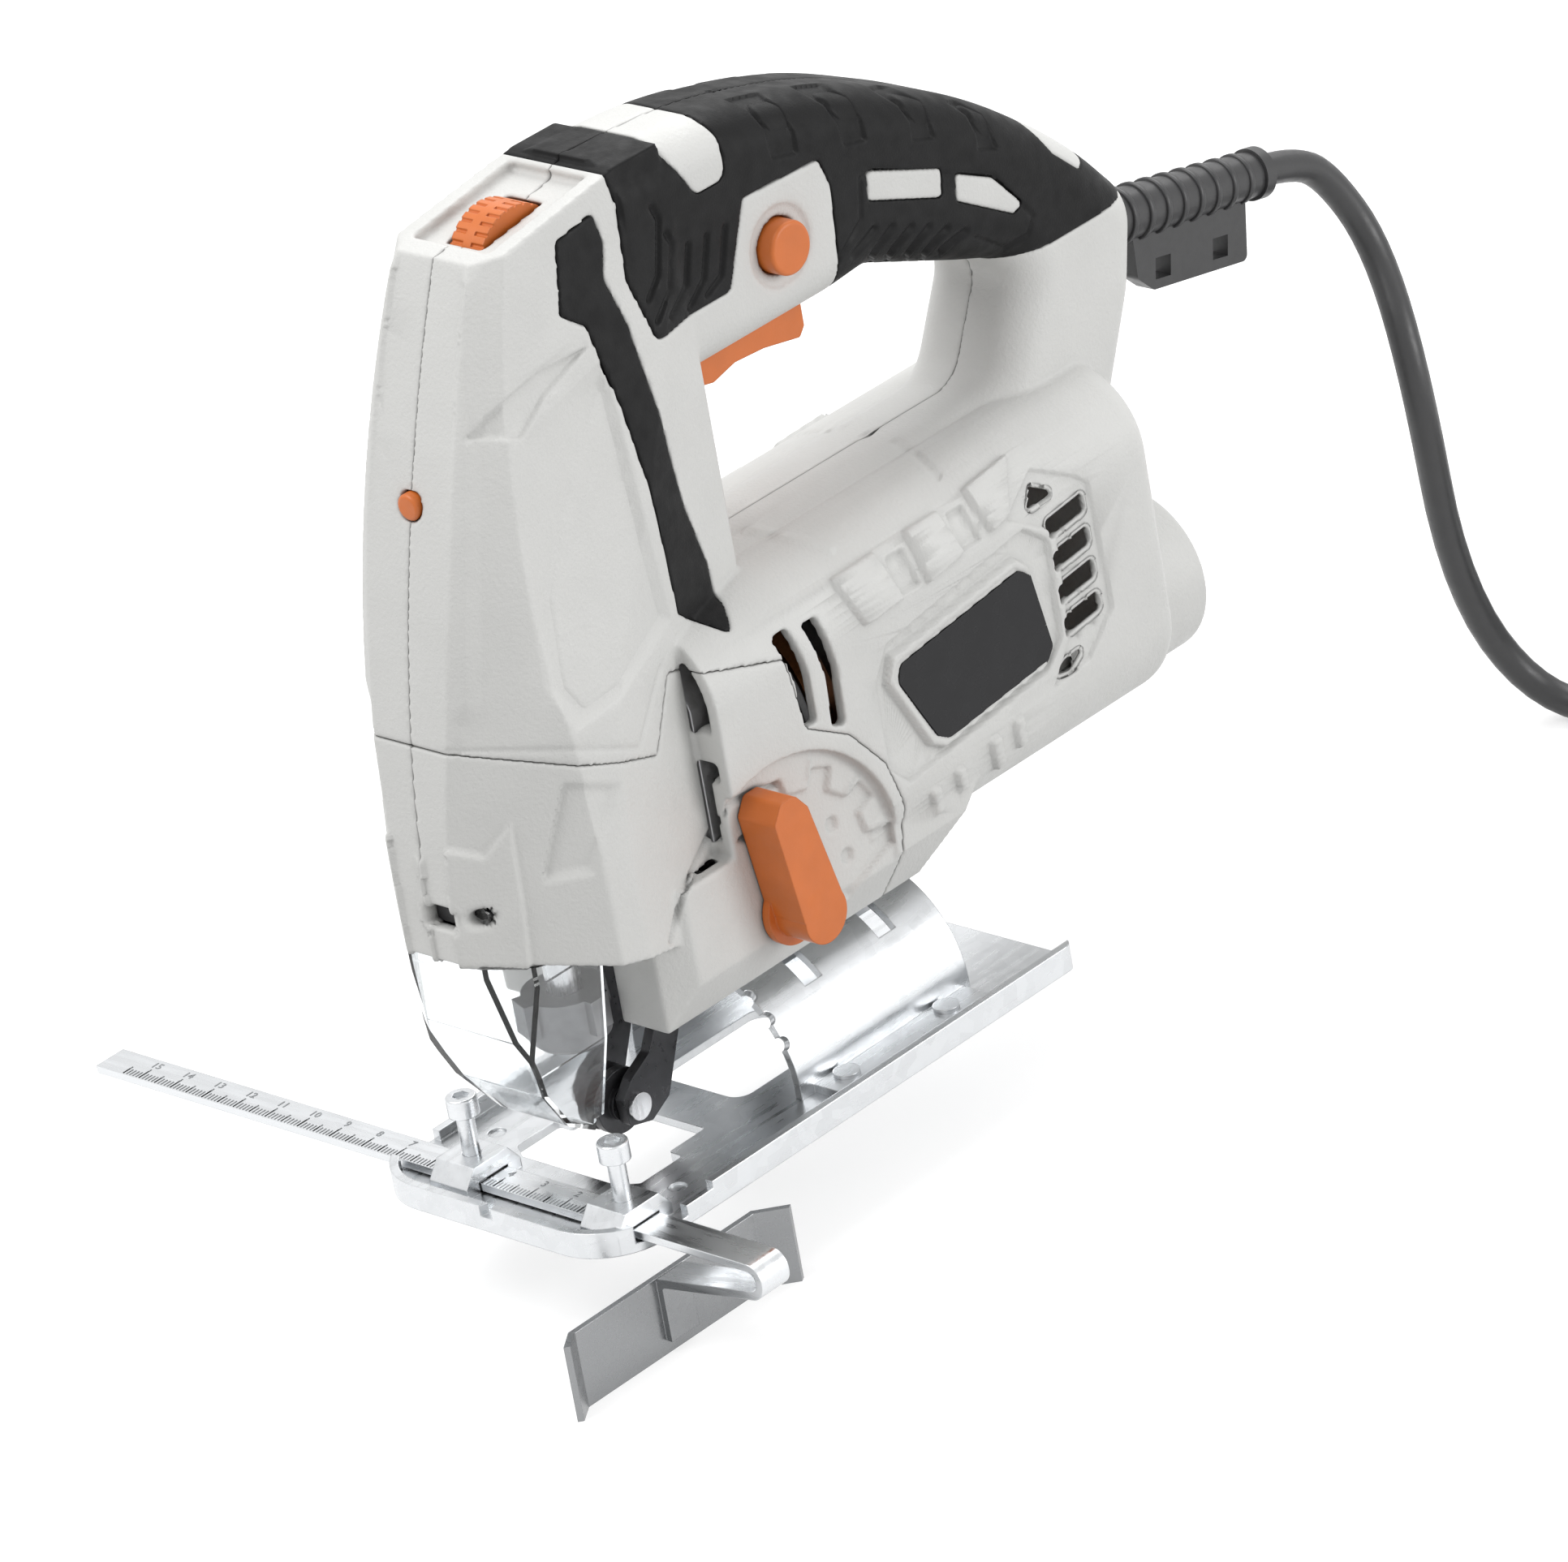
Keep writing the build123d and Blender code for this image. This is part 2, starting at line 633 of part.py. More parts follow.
def field_core():
    body = ring("y", stator_radius, core_radius + core_gap, core_front, core_rear, 0, motor_z)
    return body & block(-40, 40, core_front - 1, core_rear + 1, motor_z - core_flat, motor_z + core_flat)


def field_coils():
    inner = core_radius + core_gap + 0.4
    front = ring("y", coil_radius, inner, core_front - coil_front, core_front, 0, motor_z)
    rear = ring("y", coil_radius, inner, core_rear, core_rear + coil_rear, 0, motor_z)
    return front + rear


def front_bearing():
    return ring("y", bearing_radius, shaft_radius + fit, bearing_y, bearing_y + bearing_width, 0, motor_z)


def tail_bearing():
    return ring("y", tail_radius, shaft_radius + fit, tail_y, tail_y + tail_width, 0, motor_z)


def brush_holders():
    high = brush_half + holder_sheet
    holder = block(holder_inner, barrel_half - wall - seat, brush_front - holder_sheet,
                   brush_rear + holder_sheet, motor_z - high, motor_z + high)
    holder -= block(0, brush_outer + 2, brush_front, brush_rear, motor_z - brush_half, motor_z + brush_half)
    return both_sides(holder)


def carbon_brushes():
    return both_sides(block(commutator_radius + gap, brush_outer, brush_front, brush_rear,
                            motor_z - brush_half, motor_z + brush_half))


# ---- gear train ------------------------------------------------------------------------------------
gear_z = motor_z + gear_module * (pinion_teeth + gear_teeth) / 2
gear_back = gear_front + gear_width


def gear_case():
    """Cast plate with the motor's front bearing, the drive gear's pin and both plunger bushes."""
    half, neck = gear_case_half, gear_case_neck
    outer = [(-half, gear_case_low), (half, gear_case_low), (half, 100.0), (neck, 115.0), (neck, 134.0),
             (neck - 3.5, gear_case_high), (3.5 - neck, gear_case_high), (-neck, 134.0), (-neck, 115.0),
             (-half, 100.0)]
    body = front_prism(outer, gear_case_front, gear_case_front + gear_case_sheet, 2.0)
    body += rod("y", bearing_radius + 3, gear_case_front, bearing_y + bearing_width, 0, motor_z)
    body += rod("y", gear_pin_radius + 4, gear_back + gap, gear_case_front + 1, 0, gear_z)
    for low in (gear_case_low + 2, gear_case_high - bush_height):
        body += block(-8, 8, blade_line, gear_case_front + 1, low, low + bush_height)
        body += rod("z", 9.0, low, low + bush_height, 0, blade_line)
        body -= rod("z", bush_radius, low - 1, low + bush_height + 1, 0, blade_line)
    body -= rod("y", bearing_radius, bearing_y, bearing_y + bearing_width + 1, 0, motor_z)
    body -= rod("y", shaft_radius + 2.5, gear_case_front - 1, bearing_y + 1, 0, motor_z)
    body -= rod("y", gear_pin_radius, gear_back, gear_case_front + 10, 0, gear_z)
    return body


def gear_pin():
    return rod("y", gear_pin_radius, gear_front - 0.5, gear_case_front + gear_case_sheet, 0, gear_z)


def drive_gear():
    body = Pos(0, gear_back, gear_z) * Rot(90, 0, 0) * tooth_ring(gear_teeth, gear_width)
    body += rod("y", crank_pin_radius, yoke_back + gap, gear_front + 1, crank_throw, gear_z)
    body += rod("y", crank_pin_radius + 2.5, gear_front - 2, gear_front + 1, crank_throw, gear_z)
    return body - rod("y", gear_pin_radius + fit, gear_front - 3, gear_back + 1, 0, gear_z)


def plunger():
    """Blade holder's rod with the slotted yoke that the crank pin drives."""
    body = rod("z", plunger_radius, clamp_bottom + 2, plunger_top, 0, blade_line)
    yoke = block(-yoke_half, yoke_half, yoke_front, yoke_back, gear_z - yoke_tall, gear_z + yoke_tall)
    yoke -= block(-crank_throw - 3.4, crank_throw + 3.4, 0, 99, gear_z - 3.4, gear_z + 3.4)
    pad = block(-3, 3, blade_line, yoke_front + 0.5, gear_z - yoke_tall, gear_z - 3.4)
    pad += block(-3, 3, blade_line, yoke_front + 0.5, gear_z + 3.4, gear_z + yoke_tall)
    slit = (block(-0.9, 0.9, 0, 99, clamp_bottom, clamp_bottom + 8)
            & rod("z", plunger_radius - 0.6, 0, 99, 0, blade_line))
    return body + yoke + pad - slit


def plunger_bush(low):
    return ring("z", bush_radius, plunger_radius + fit, low, low + bush_height, 0, blade_line)


def blade_clamp():
    """Quick-change collar that turns on the plunger's end, with two finger lugs in front of the blade."""
    body = rod("z", clamp_radius, clamp_bottom, clamp_top, 0, blade_line)
    body = chamfer(body.edges().sort_by(Axis.Z)[0], 1.0)
    lug = block(clamp_radius - 2, clamp_lug, -3, 3, clamp_bottom + 4, clamp_top)
    for turn in (0, -clamp_lug_turn):
        body += Pos(0, blade_line, 0) * Rot(0, 0, turn) * lug
    body -= rod("z", plunger_radius + fit, clamp_bottom + 2, clamp_top + 1, 0, blade_line)
    return body - rod("z", plunger_radius - 1.0, clamp_bottom - 1, clamp_bottom + 3, 0, blade_line)


# ---- roller guide ----------------------------------------------------------------------------------
fork_outline = [(50.0, 47.5), (58.5, 47.5), (59.5, 42.0), (57.0, 24.0), (50.5, 10.0), (44.5, 6.8),
                (37.8, 8.6), (37.2, 15.0), (40.5, 18.6), (47.0, 22.0), (51.5, 30.0)]


def roller_fork():
    arm = side_prism(fork_outline, fork_inner, fork_outer, 1.2)
    body = both_sides(arm) + block(-fork_inner, fork_inner, 51.0, 58.0, 44.2, 47.3)
    body += both_sides(rod("x", 3.6, fork_inner - 1.0, fork_outer + 0.6, fork_y, fork_z))
    body -= rod("x", fork_pin_radius + fit, -30, 30, fork_y, fork_z)
    return body - rod("x", fork_pin_radius, -30, 30, roller_y, roller_z)


def roller_pin():
    pin = rod("x", fork_pin_radius, -fork_outer - 0.8, fork_outer + 0.8, roller_y, roller_z)
    return pin + both_sides(rod("x", 3.1, fork_outer, fork_outer + 1.2, roller_y, roller_z))


def roller():
    body = rod("x", roller_groove, -roller_half, roller_half, roller_y, roller_z)
    body += both_sides(rod("x", roller_flange, 1.4, roller_half - 1.2, roller_y, roller_z))
    return body - rod("x", fork_pin_radius + fit, -30, 30, roller_y, roller_z)


def fork_pin():
    return rod("x", fork_pin_radius, -fork_pin_end, fork_pin_end, fork_y, fork_z)


def fork_spring():
    """Closed outline of the torsion spring round the fork's pin."""
    coil = ring("x", 3.0, fork_pin_radius + 0.2, -4.2, 4.2, fork_y, fork_z)
    return coil


# ---- controls --------------------------------------------------------------------------------------
def selector_lever():
    tip_y = lever_y - 5.0
    tip_z = lever_z + selector_length
    arm = [(lever_y - selector_hub, lever_z), (lever_y + selector_hub, lever_z), (tip_y + 5.2, tip_z - 4.0),
           (tip_y + 2.0, tip_z), (tip_y - 2.5, tip_z), (tip_y - 5.2, tip_z - 4.0)]
    body = side_prism(arm, selector_floor + gap, selector_face, 1.6)
    body += rod("x", selector_hub, selector_floor + gap, selector_face, lever_y, lever_z)
    body += rod("x", selector_hub + 2.0, selector_floor + gap, selector_floor + 2.2, lever_y, lever_z)
    return body + rod("x", selector_shaft, selector_floor - 8.0, selector_floor + 1, lever_y, lever_z)


def trigger():
    shape = [(88.9, 157.0), (94.0, 158.4), (100.0, 157.2), (107.0, 158.8), (116.0, 158.2), (127.0, 156.0),
             (128.8, 158.0), (128.8, 171.0), (97.0, 171.0), (94.0, 173.2), (88.4, 173.2), (88.4, 165.0)]
    body = side_prism(shape, -trigger_half, trigger_half, 0.9)
    return body + rod("x", trigger_pin, -trigger_pin_end, trigger_pin_end, trigger_y, trigger_z)


def lock_button():
    rest = switch_half + lock_travel + gap
    body = rod("x", lock_radius, rest, handle_half + 3.2, lock_y, lock_z)
    body = fillet(body.edges().sort_by(Axis.X)[-1], 0.9)
    return body + rod("x", lock_radius + 1.0, rest, handle_half - wall - gap, lock_y, lock_z)


def speed_wheel():
    body = rod("x", wheel_radius, -wheel_half, wheel_half, wheel_y, wheel_z)
    groove = both_sides(rod("x", wheel_groove, 1.2, wheel_half + 1, wheel_radius, 0))
    for i in range(wheel_grooves):
        body -= Pos(0, wheel_y, wheel_z) * Rot(360 * i / wheel_grooves, 0, 0) * groove
    return body + rod("x", wheel_axle, -dial_half, dial_half, wheel_y, wheel_z)


def speed_dial_board():
    body = block(-dial_half, dial_half, dial_front, dial_back, dial_floor, dial_floor + dial_sheet)
    body += both_sides(block(wheel_half + 0.6, dial_half, wheel_y - 4, wheel_y + 4, dial_floor, wheel_z + 4))
    return body - rod("x", wheel_axle + fit, -20, 20, wheel_y, wheel_z)


def light_button():
    body = rod("y", button_radius, button_front, button_guide + 2, 0, button_z)
    body = fillet(body.edges().sort_by(Axis.Y)[0], 0.8)
    return body + rod("y", button_radius + 1.6, button_guide + gap, button_guide + 2, 0, button_z)


def switch_module():
    body = block(-switch_half, switch_half, switch_front, switch_back, switch_low, switch_high)
    return body + rod("z", 2.0, switch_low - 2.4, switch_low, 0, 121)


def working_light():
    body = block(light_left, light_right, light_front, light_back, light_low, light_high)
    return body


def light_dome():
    return rod("y", light_lens, light_front + 1.2, light_back, light_lens_x, light_high - light_lens)


# ---- blade guard -----------------------------------------------------------------------------------
def guard_form(inset):
    half = guard_half - inset
    side = [(2.6 + inset, 90), (2.6 + inset, 62.0), (5.2 + inset, 46.0), (11.0 + inset, 30.0),
            (19.0 + inset, 18.5), (27.5, 13.0 + inset), (34.0, 13.0 + inset), (44.0, 45.0), (47.0, 54.0),
            (47.0, 90.0)]
    front = [(half, 91), (half, 58), (half - 3.5, 36), (8.0 - inset, 11), (inset - 8.0, 11), (3.5 - half, 36),
             (-half, 58), (-half, 91)]
    plan = [(-7.0, inset - 2), (7.0, inset - 2), (half, 11.0), (half, 60), (-half, 60), (-half, 11.0)]
    return side_prism(side, -30, 30, 2.0) & front_prism(front, -10, 61) & flat_prism(plan, 0, 100)


def blade_guard():
    """Clear cover round the front of the blade, open below and behind."""
    body = guard_form(0) - guard_form(guard_sheet)
    body -= block(-40, 40, 30, 61, 0, 100) + block(-40, 40, 27.6, 61, 0, 16)
    under = [(-20, 71.2), (foot_front + wall, 54.2), (61, 48.9), (61, 120), (-20, 120)]
    return body - side_prism(under, -60, 60)


# ---- shoe ------------------------------------------------------------------------------------------
def shoe():
    """Pressed steel shoe: sheet with an upturned rim, blade window, and two bridges for the guide bar."""
    corner = 16.0
    plan = [(-shoe_half, 0), (shoe_half, 0), (shoe_half, shoe_length), (-shoe_half, shoe_length)]
    radii = [corner, corner, 3.0, 3.0]
    body = flat_prism(plan, 0, shoe_flange, radii)
    inside = [(-shoe_half + shoe_sheet, shoe_sheet), (shoe_half - shoe_sheet, shoe_sheet),
              (shoe_half - shoe_sheet, shoe_length + 5), (-shoe_half + shoe_sheet, shoe_length + 5)]
    body -= flat_prism(inside, shoe_sheet, 20, [corner - shoe_sheet, corner - shoe_sheet, 1.0, 1.0])
    window = [(-14.0, 25.5), (14.0, 25.5), (18.5, 28.5), (18.5, 41.5), (14.5, 41.5), (14.5, 53.0),
              (-14.5, 53.0), (-14.5, 41.5), (-18.5, 41.5), (-18.5, 28.5)]
    body -= flat_prism(window, -5, 20, 1.0)
    body -= flat_prism([(-13, 66), (13, 66), (13, 100), (-13, 100)], -5, 20, 4.0)
    body -= flat_prism([(-2.2, -1), (2.2, -1), (0, 4.5)], 3.4, 20)
    body -= both_sides(block(30, 50, 8.4, 22.6, shoe_sheet, 20))
    body -= both_sides(block(33, 50, 22, 31, shoe_flange - 1.6, 20))
    for x in guide_screw_x:
        bridge = block(x - bridge_half, x + bridge_half, bridge_front, bridge_back, 0, bridge_top)
        top_cut = side_prism([(bridge_front - 1, 3.2), (bridge_front - 1, 12), (bridge_front + 4.4, 12),
                              (bridge_front + 3.2, bridge_top)], x - 20, x + 20)
        top_cut += side_prism([(bridge_back + 1, 3.2), (bridge_back + 1, 12), (bridge_back - 4.4, 12),
                               (bridge_back - 3.2, bridge_top)], x - 20, x + 20)
        bridge -= top_cut
        half = bar_width / 2 + gap
        bridge -= block(x - 20, x + 20, bar_y - half, bar_y + half, shoe_sheet, bar_z + bar_thick + gap)
        body += bridge
        body -= rod("z", screw_thread + fit, bar_z, 20, x, bar_y)
    for side in (-1, 1):
        body -= rod("z", 2.0, shoe_sheet - 0.5, 10, 27.0 * side, 31.0)
        for y in rivet_places:
            body -= rod("z", rivet_radius, -1, 20, rivet_x * side, y)
    return body


def bevel_arch():
    """Half-round saddle riveted to the shoe, with two slots for the clamping screws."""
    body = ring("y", arch_radius, arch_radius - arch_sheet, arch_front, arch_rear, 0, arch_z)
    body = body & block(-60, 60, 0, 200, arch_z, 60)
    legs = block(-arch_radius, arch_sheet - arch_radius, arch_front, arch_rear, shoe_sheet, arch_z)
    body += both_sides(legs)
    foot_plate = block(arch_radius - arch_sheet, rivet_x + 5.5, arch_front + 4, arch_rear - 2, shoe_sheet,
                       shoe_sheet + arch_sheet)
    body += both_sides(foot_plate)
    for y in clamp_screw_y:
        half = clamp_screw_radius + gap
        fan_out = [(0, arch_z), (60, arch_z + 57), (60, 90), (-60, 90), (-60, arch_z + 57)]
        body -= front_prism(fan_out, y - half, y + half)
    for y in rivet_places:
        for side in (-1, 1):
            body -= rod("z", rivet_radius, 0, 10, rivet_x * side, y)
    for i in range(4):
        for side in (-1, 1):
            body -= Pos(0, 0, arch_z) * Rot(0, side * (22 + 14 * i), 0) * rod("z", 1.6, 10, 40, 0, arch_front)
    return body


def arch_rivets():
    group = Part()
    for y in rivet_places:
        for side in (-1, 1):
            group += rod("z", rivet_radius, 0.2, shoe_sheet + arch_sheet, rivet_x * side, y)
            group += rod("z", rivet_radius + 0.6, shoe_sheet + arch_sheet, shoe_sheet + arch_sheet + 0.9,
                         rivet_x * side, y)
    return group


def clamp_plate():
    """Curved plate inside the arch that the two bevel screws draw up against it."""
    front, rear = clamp_screw_y[0] - 7, clamp_screw_y[1] + 7
    body = rod("y", arch_radius - arch_sheet - gap, front, rear, 0, arch_z)
    body &= block(-8, 8, front, rear, clamp_plate_low, 60)
    for y in clamp_screw_y:
        body -= rod("z", clamp_screw_radius + 0.1, 0, 60, 0, y)
    return body


def bevel_screws():
    group = Part()
    top = clamp_plate_low
    for y in clamp_screw_y:
        screw = rod("z", clamp_screw_radius, top - 1, bearer_top - 2, 0, y)
        screw += rod("z", clamp_screw_head, top - clamp_head_tall, top, 0, y)
        socket = Pos(0, y, top - clamp_head_tall) * extrude(RegularPolygon(2.0, 6), amount=3.0)
        group += screw - socket
    return group


# ---- parallel guide --------------------------------------------------------------------------------
def parallel_guide():
    """Graduated bar folded back under itself at one end, with the fence plate welded on."""
    front, back = bar_y - bar_width / 2, bar_y + bar_width / 2
    top, out = bar_z + bar_thick, bar_bend + bar_bend_radius
    low = top - 2 * bar_bend_radius
    face, weld = fence_x, fence_x + 1.6
    inner = bar_bend_radius - bar_thick
    path = [(bar_tip, bar_z), (out - bar_thick, bar_z), (out - bar_thick, low + bar_thick), (face, fence_top),
            (face, fence_bottom + 3), (weld, fence_bottom + 3), (weld, fence_top - bar_thick), (out, low),
            (out, top), (bar_tip, top)]
    radii = [0.0, inner, inner, 0.8, 0.0, 0.0, 0.8, bar_bend_radius, bar_bend_radius, 0.0]
    bar = front_prism(path, front, back, radii)
    plate = [(face - 1.4, fence_front), (face + 2.2, fence_front - 5.2), (face + 3.2, fence_front - 4.2),
             (face, fence_front + 0.6), (face, fence_back - 0.6), (face + 5.4, fence_back + 4.8),
             (face + 4.6, fence_back + 6.2), (face - 1.4, fence_back)]
    return bar + flat_prism(plate, fence_bottom, fence_top)


def guide_screw(x):
    low = bar_z + bar_thick + gap
    body = rod("z", screw_thread, low, guide_screw_top - 1, x, bar_y)
    cap = rod("z", screw_cap, guide_screw_top - guide_screw_cap, guide_screw_top, x, bar_y)
    cap = fillet(cap.edges().sort_by(Axis.Z)[-1], 0.5)
    cap -= Pos(x, bar_y, guide_screw_top - 2.4) * extrude(RegularPolygon(1.9, 6), amount=4)
    return body + cap


# ---- cord ------------------------------------------------------------------------------------------
def strain_relief():
    """Rubber sleeve with its flange in the handle, and the plate below it that stores the hex key."""
    place = relief_axis()
    body = place * Pos(0, 0, relief_length / 2 - 5) * Cone(relief_thick, relief_thin, relief_length + 10)
    body += place * Pos(0, 0, relief_length - 1.5) * Cylinder(relief_thin + 0.8, 3.0)
    body += relief_flange(0)
    key = [(238.0, 136.0), (276.0, 128.6), (273.0, 110.5), (242.0, 116.5), (237.5, 121.0)]
    plate = side_prism(key, -2.5, 2.5, 1.5)
    plate -= side_prism([(243.0, 118.6), (248.0, 117.6), (249.0, 122.4), (244.0, 123.4)], -9, 9)
    plate -= side_prism([(262.0, 115.2), (267.0, 114.2), (268.0, 119.0), (263.0, 120.0)], -9, 9)
    return body + plate


def cord_route():
    """Corners of the cord's run: out of the strain relief, down to the floor and along it to the coil."""
    place = relief_axis() * Pos(0, 0, relief_length)
    first = Vector(place.position)
    straight = Vector(0, cos(radians(relief_fall)), -sin(radians(relief_fall))) * cord_straight
    lie = cord_floor + cord_radius
    points = [first, first + straight] + [Vector(*point) for point in cord_fall]
    return points + [Vector(x, y, lie) for x, y in cord_floor_run]


def cord_path(points):
    """Straight runs joined by tangent arcs, each arc taking 0.45 of the shorter run on either side."""
    radii = []
    for i in range(1, len(points) - 1):
        before = points[i] - points[i - 1]
        after = points[i + 1] - points[i]
        radii.append(0.45 * min(before.length, after.length) / tan(radians(before.get_angle(after)) / 2))
    print("cord radii", [round(r, 1) for r in radii])
    return FilletPolyline(*points, radius=radii)


def cord():
    path = cord_path(cord_route())
    start = Plane(origin=path @ 0, z_dir=path % 0)
    body = sweep(start * Circle(cord_radius), path=path)
    ratio = body.volume / (pi * cord_radius ** 2 * path.length)
    print("cord length", round(path.length, 1), "volume ratio", round(ratio, 4))
    return body


def coil_place():
    """Where the coil lies: its local +X runs along the cord's last straight, which meets its outer turn."""
    points = cord_route()
    along = (points[-1] - points[-2]).normalized()
    centre = points[-1] + Vector(-along.Y, along.X, 0) * coil_turn
    return Plane(origin=(centre.X, centre.Y, cord_floor), x_dir=(along.X, along.Y, 0), z_dir=(0, 0, 1))


def cord_coil():
    """The stored cord as one closed ring, open below where the cord comes in and above where it leaves."""
    body = ring("z", coil_outer, coil_mid - coil_half, 0, coil_tall, 0, 0)
    clear = coil_turn - cord_radius - gap
    layer = 2 * cord_radius
    body -= block(-2 * coil_outer, 0, -2 * coil_outer, -clear, -1, layer + gap)
    return coil_place() * (body - block(0, 2 * coil_outer, -2 * coil_outer, -clear, layer - gap, 60))


def tail_route():
    """The cord from the coil's upper turn to the middle of the plug's height."""
    top = coil_tall - cord_radius
    local = [(0, -coil_turn, top), (26, -coil_turn, top), (51, -coil_turn - 4, top)]
    place = coil_place()
    return [place.from_local_coords(Vector(*point)) for point in local]


def cord_tail():
    path = cord_path(tail_route())
    return sweep(Plane(origin=path @ 0, z_dir=path % 0) * Circle(cord_radius), path=path)


def plug_place():
    points = tail_route()
    along = (points[-1] - points[-2]).normalized()
    origin = (points[-1].X, points[-1].Y, cord_floor)
    return Plane(origin=origin, x_dir=(along.Y, -along.X, 0), z_dir=(0, 0, 1))


def plug_body():
    """Two-pin plug that widens to its face, lying at the cord's end."""
    shape = [(-6.5, 0), (6.5, 0), (10.0, 12.0), (plug_half, 27.0), (plug_half, plug_length),
             (-plug_half, plug_length), (-plug_half, 27.0), (-10.0, 12.0)]
    return plug_place() * flat_prism(shape, 0, plug_tall, 1.5)


def plug_pins():
    group = Part()
    for x in (-pin_spread / 2, pin_spread / 2):
        group += rod("y", pin_radius, plug_length, plug_length + pin_length, x, plug_tall / 2)
    return plug_place() * group


def build():
    body, cover, grip, strip, badge = shells()
    for side, word in ((1, "left"), (-1, "right")):
        half = half_space(side)
        add("housing_" + word, body & half)
        add("gear_cover_" + word, cover & half)
        add("grip_" + word, grip & half)
        add("throat_strip_" + word, strip & half)
        add("badge_" + word, badge & half)
    add("housing_screws", screws(screw_places + cover_screw_places))
    add("armature_shaft", armature_shaft())
    add("armature_core", armature_core())
    add("armature_windings", armature_windings())
    add("commutator", commutator())
    add("cooling_fan", fan())
    add("field_core", field_core())
    add("field_coils", field_coils())
    add("front_bearing", front_bearing())
    add("tail_bearing", tail_bearing())
    add("brush_holders", brush_holders())
    add("carbon_brushes", carbon_brushes())
    add("gear_case", gear_case())
    add("gear_pin", gear_pin())
    add("drive_gear", drive_gear())
    add("plunger", plunger())
    add("lower_bush", plunger_bush(gear_case_low + 2))
    add("upper_bush", plunger_bush(gear_case_high - bush_height))
    add("blade_clamp", blade_clamp())
    add("roller_fork", roller_fork())
    add("roller_pin", roller_pin())
    add("guide_roller", roller())
    add("fork_pin", fork_pin())
    add("fork_spring", fork_spring())
    add("selector_lever", selector_lever())
    add("trigger", trigger())
    add("lock_button", lock_button())
    add("speed_wheel", speed_wheel())
    add("speed_dial_board", speed_dial_board())
    add("light_button", light_button())
    add("switch_module", switch_module())
    add("working_light", working_light())
    add("light_lens", light_dome())
    add("blade_guard", blade_guard())
    add("shoe", shoe())
    add("bevel_arch", bevel_arch())
    add("arch_rivets", arch_rivets())
    add("clamp_plate", clamp_plate())
    add("bevel_screws", bevel_screws())
    add("parallel_guide", parallel_guide())
    add("guide_screw_inner", guide_screw(guide_screw_x[0]))
    add("guide_screw_outer", guide_screw(guide_screw_x[1]))
    add("strain_relief", strain_relief())
    add("cord", cord())
    add("cord_coil", cord_coil())
    add("cord_tail", cord_tail())
    add("plug_body", plug_body())
    add("plug_pins", plug_pins())


if __name__ == "__main__":
    os.makedirs("parts", exist_ok=True)
    with SkipClean():
        build()
    for name, shape in nodes.items():
        export_step(placed(shape), f"parts/{name}.step")
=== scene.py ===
"""Finishes, surface relief and small detail of a corded jigsaw, over its packed construction.

Laid out as a Blender add-on: sizes and colours are properties, and each group of pieces has an operator.
Lengths in the tables below are in millimetres, in the tool's own stations: x across, y from the shoe's
front edge, z from the shoe's underside. The frame's y starts at the blade, BLADE_LINE behind that edge.
"""
import math
from dataclasses import dataclass

import bmesh
import bpy
import numpy as np
from bpy.props import FloatProperty, FloatVectorProperty, IntProperty, PointerProperty
from mathutils import Matrix, Vector


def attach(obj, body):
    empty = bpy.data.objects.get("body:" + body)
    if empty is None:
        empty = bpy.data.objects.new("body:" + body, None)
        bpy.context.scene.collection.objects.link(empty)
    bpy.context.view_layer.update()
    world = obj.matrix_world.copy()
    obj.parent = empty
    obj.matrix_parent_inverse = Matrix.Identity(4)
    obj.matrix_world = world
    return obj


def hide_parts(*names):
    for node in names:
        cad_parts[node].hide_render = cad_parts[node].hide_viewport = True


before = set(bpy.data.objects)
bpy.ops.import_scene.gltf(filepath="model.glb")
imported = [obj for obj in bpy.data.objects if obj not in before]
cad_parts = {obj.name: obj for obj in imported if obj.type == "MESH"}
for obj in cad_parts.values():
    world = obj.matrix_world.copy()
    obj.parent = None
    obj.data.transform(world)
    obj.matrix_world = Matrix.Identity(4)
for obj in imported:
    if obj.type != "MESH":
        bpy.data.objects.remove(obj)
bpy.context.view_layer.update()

bl_info = {
    "name": "Corded jigsaw",
    "version": (1, 0, 0),
    "blender": (4, 5, 0),
    "location": "View3D > Sidebar > Jigsaw",
    "description": "Dresses the construction of a corded jigsaw with its finishes and fine detail",
    "category": "Object",
}

MM = 0.001
BLADE_LINE = 33.5

# ---- Moulded relief ----
# Outlines are (y, z) seen square on to the side of the tool, at the x of their plane.
# An outline is carried from its plane to the surface along the direction that it was drawn in.
DRAWN_SLOPE = (-0.98, 0.65)      # change of y and z along one millimetre of x
SIDE_PLANE = 30.0                # x of the planes that the outlines are drawn on: the barrel's side,
HEAD_PLANE = 24.0                # the head's and the gear cover's,
GRIP_PLANE = 16.0                # and the handle's
SIDE_FACING = 0.1                # least share of x in the normal of a face that takes relief

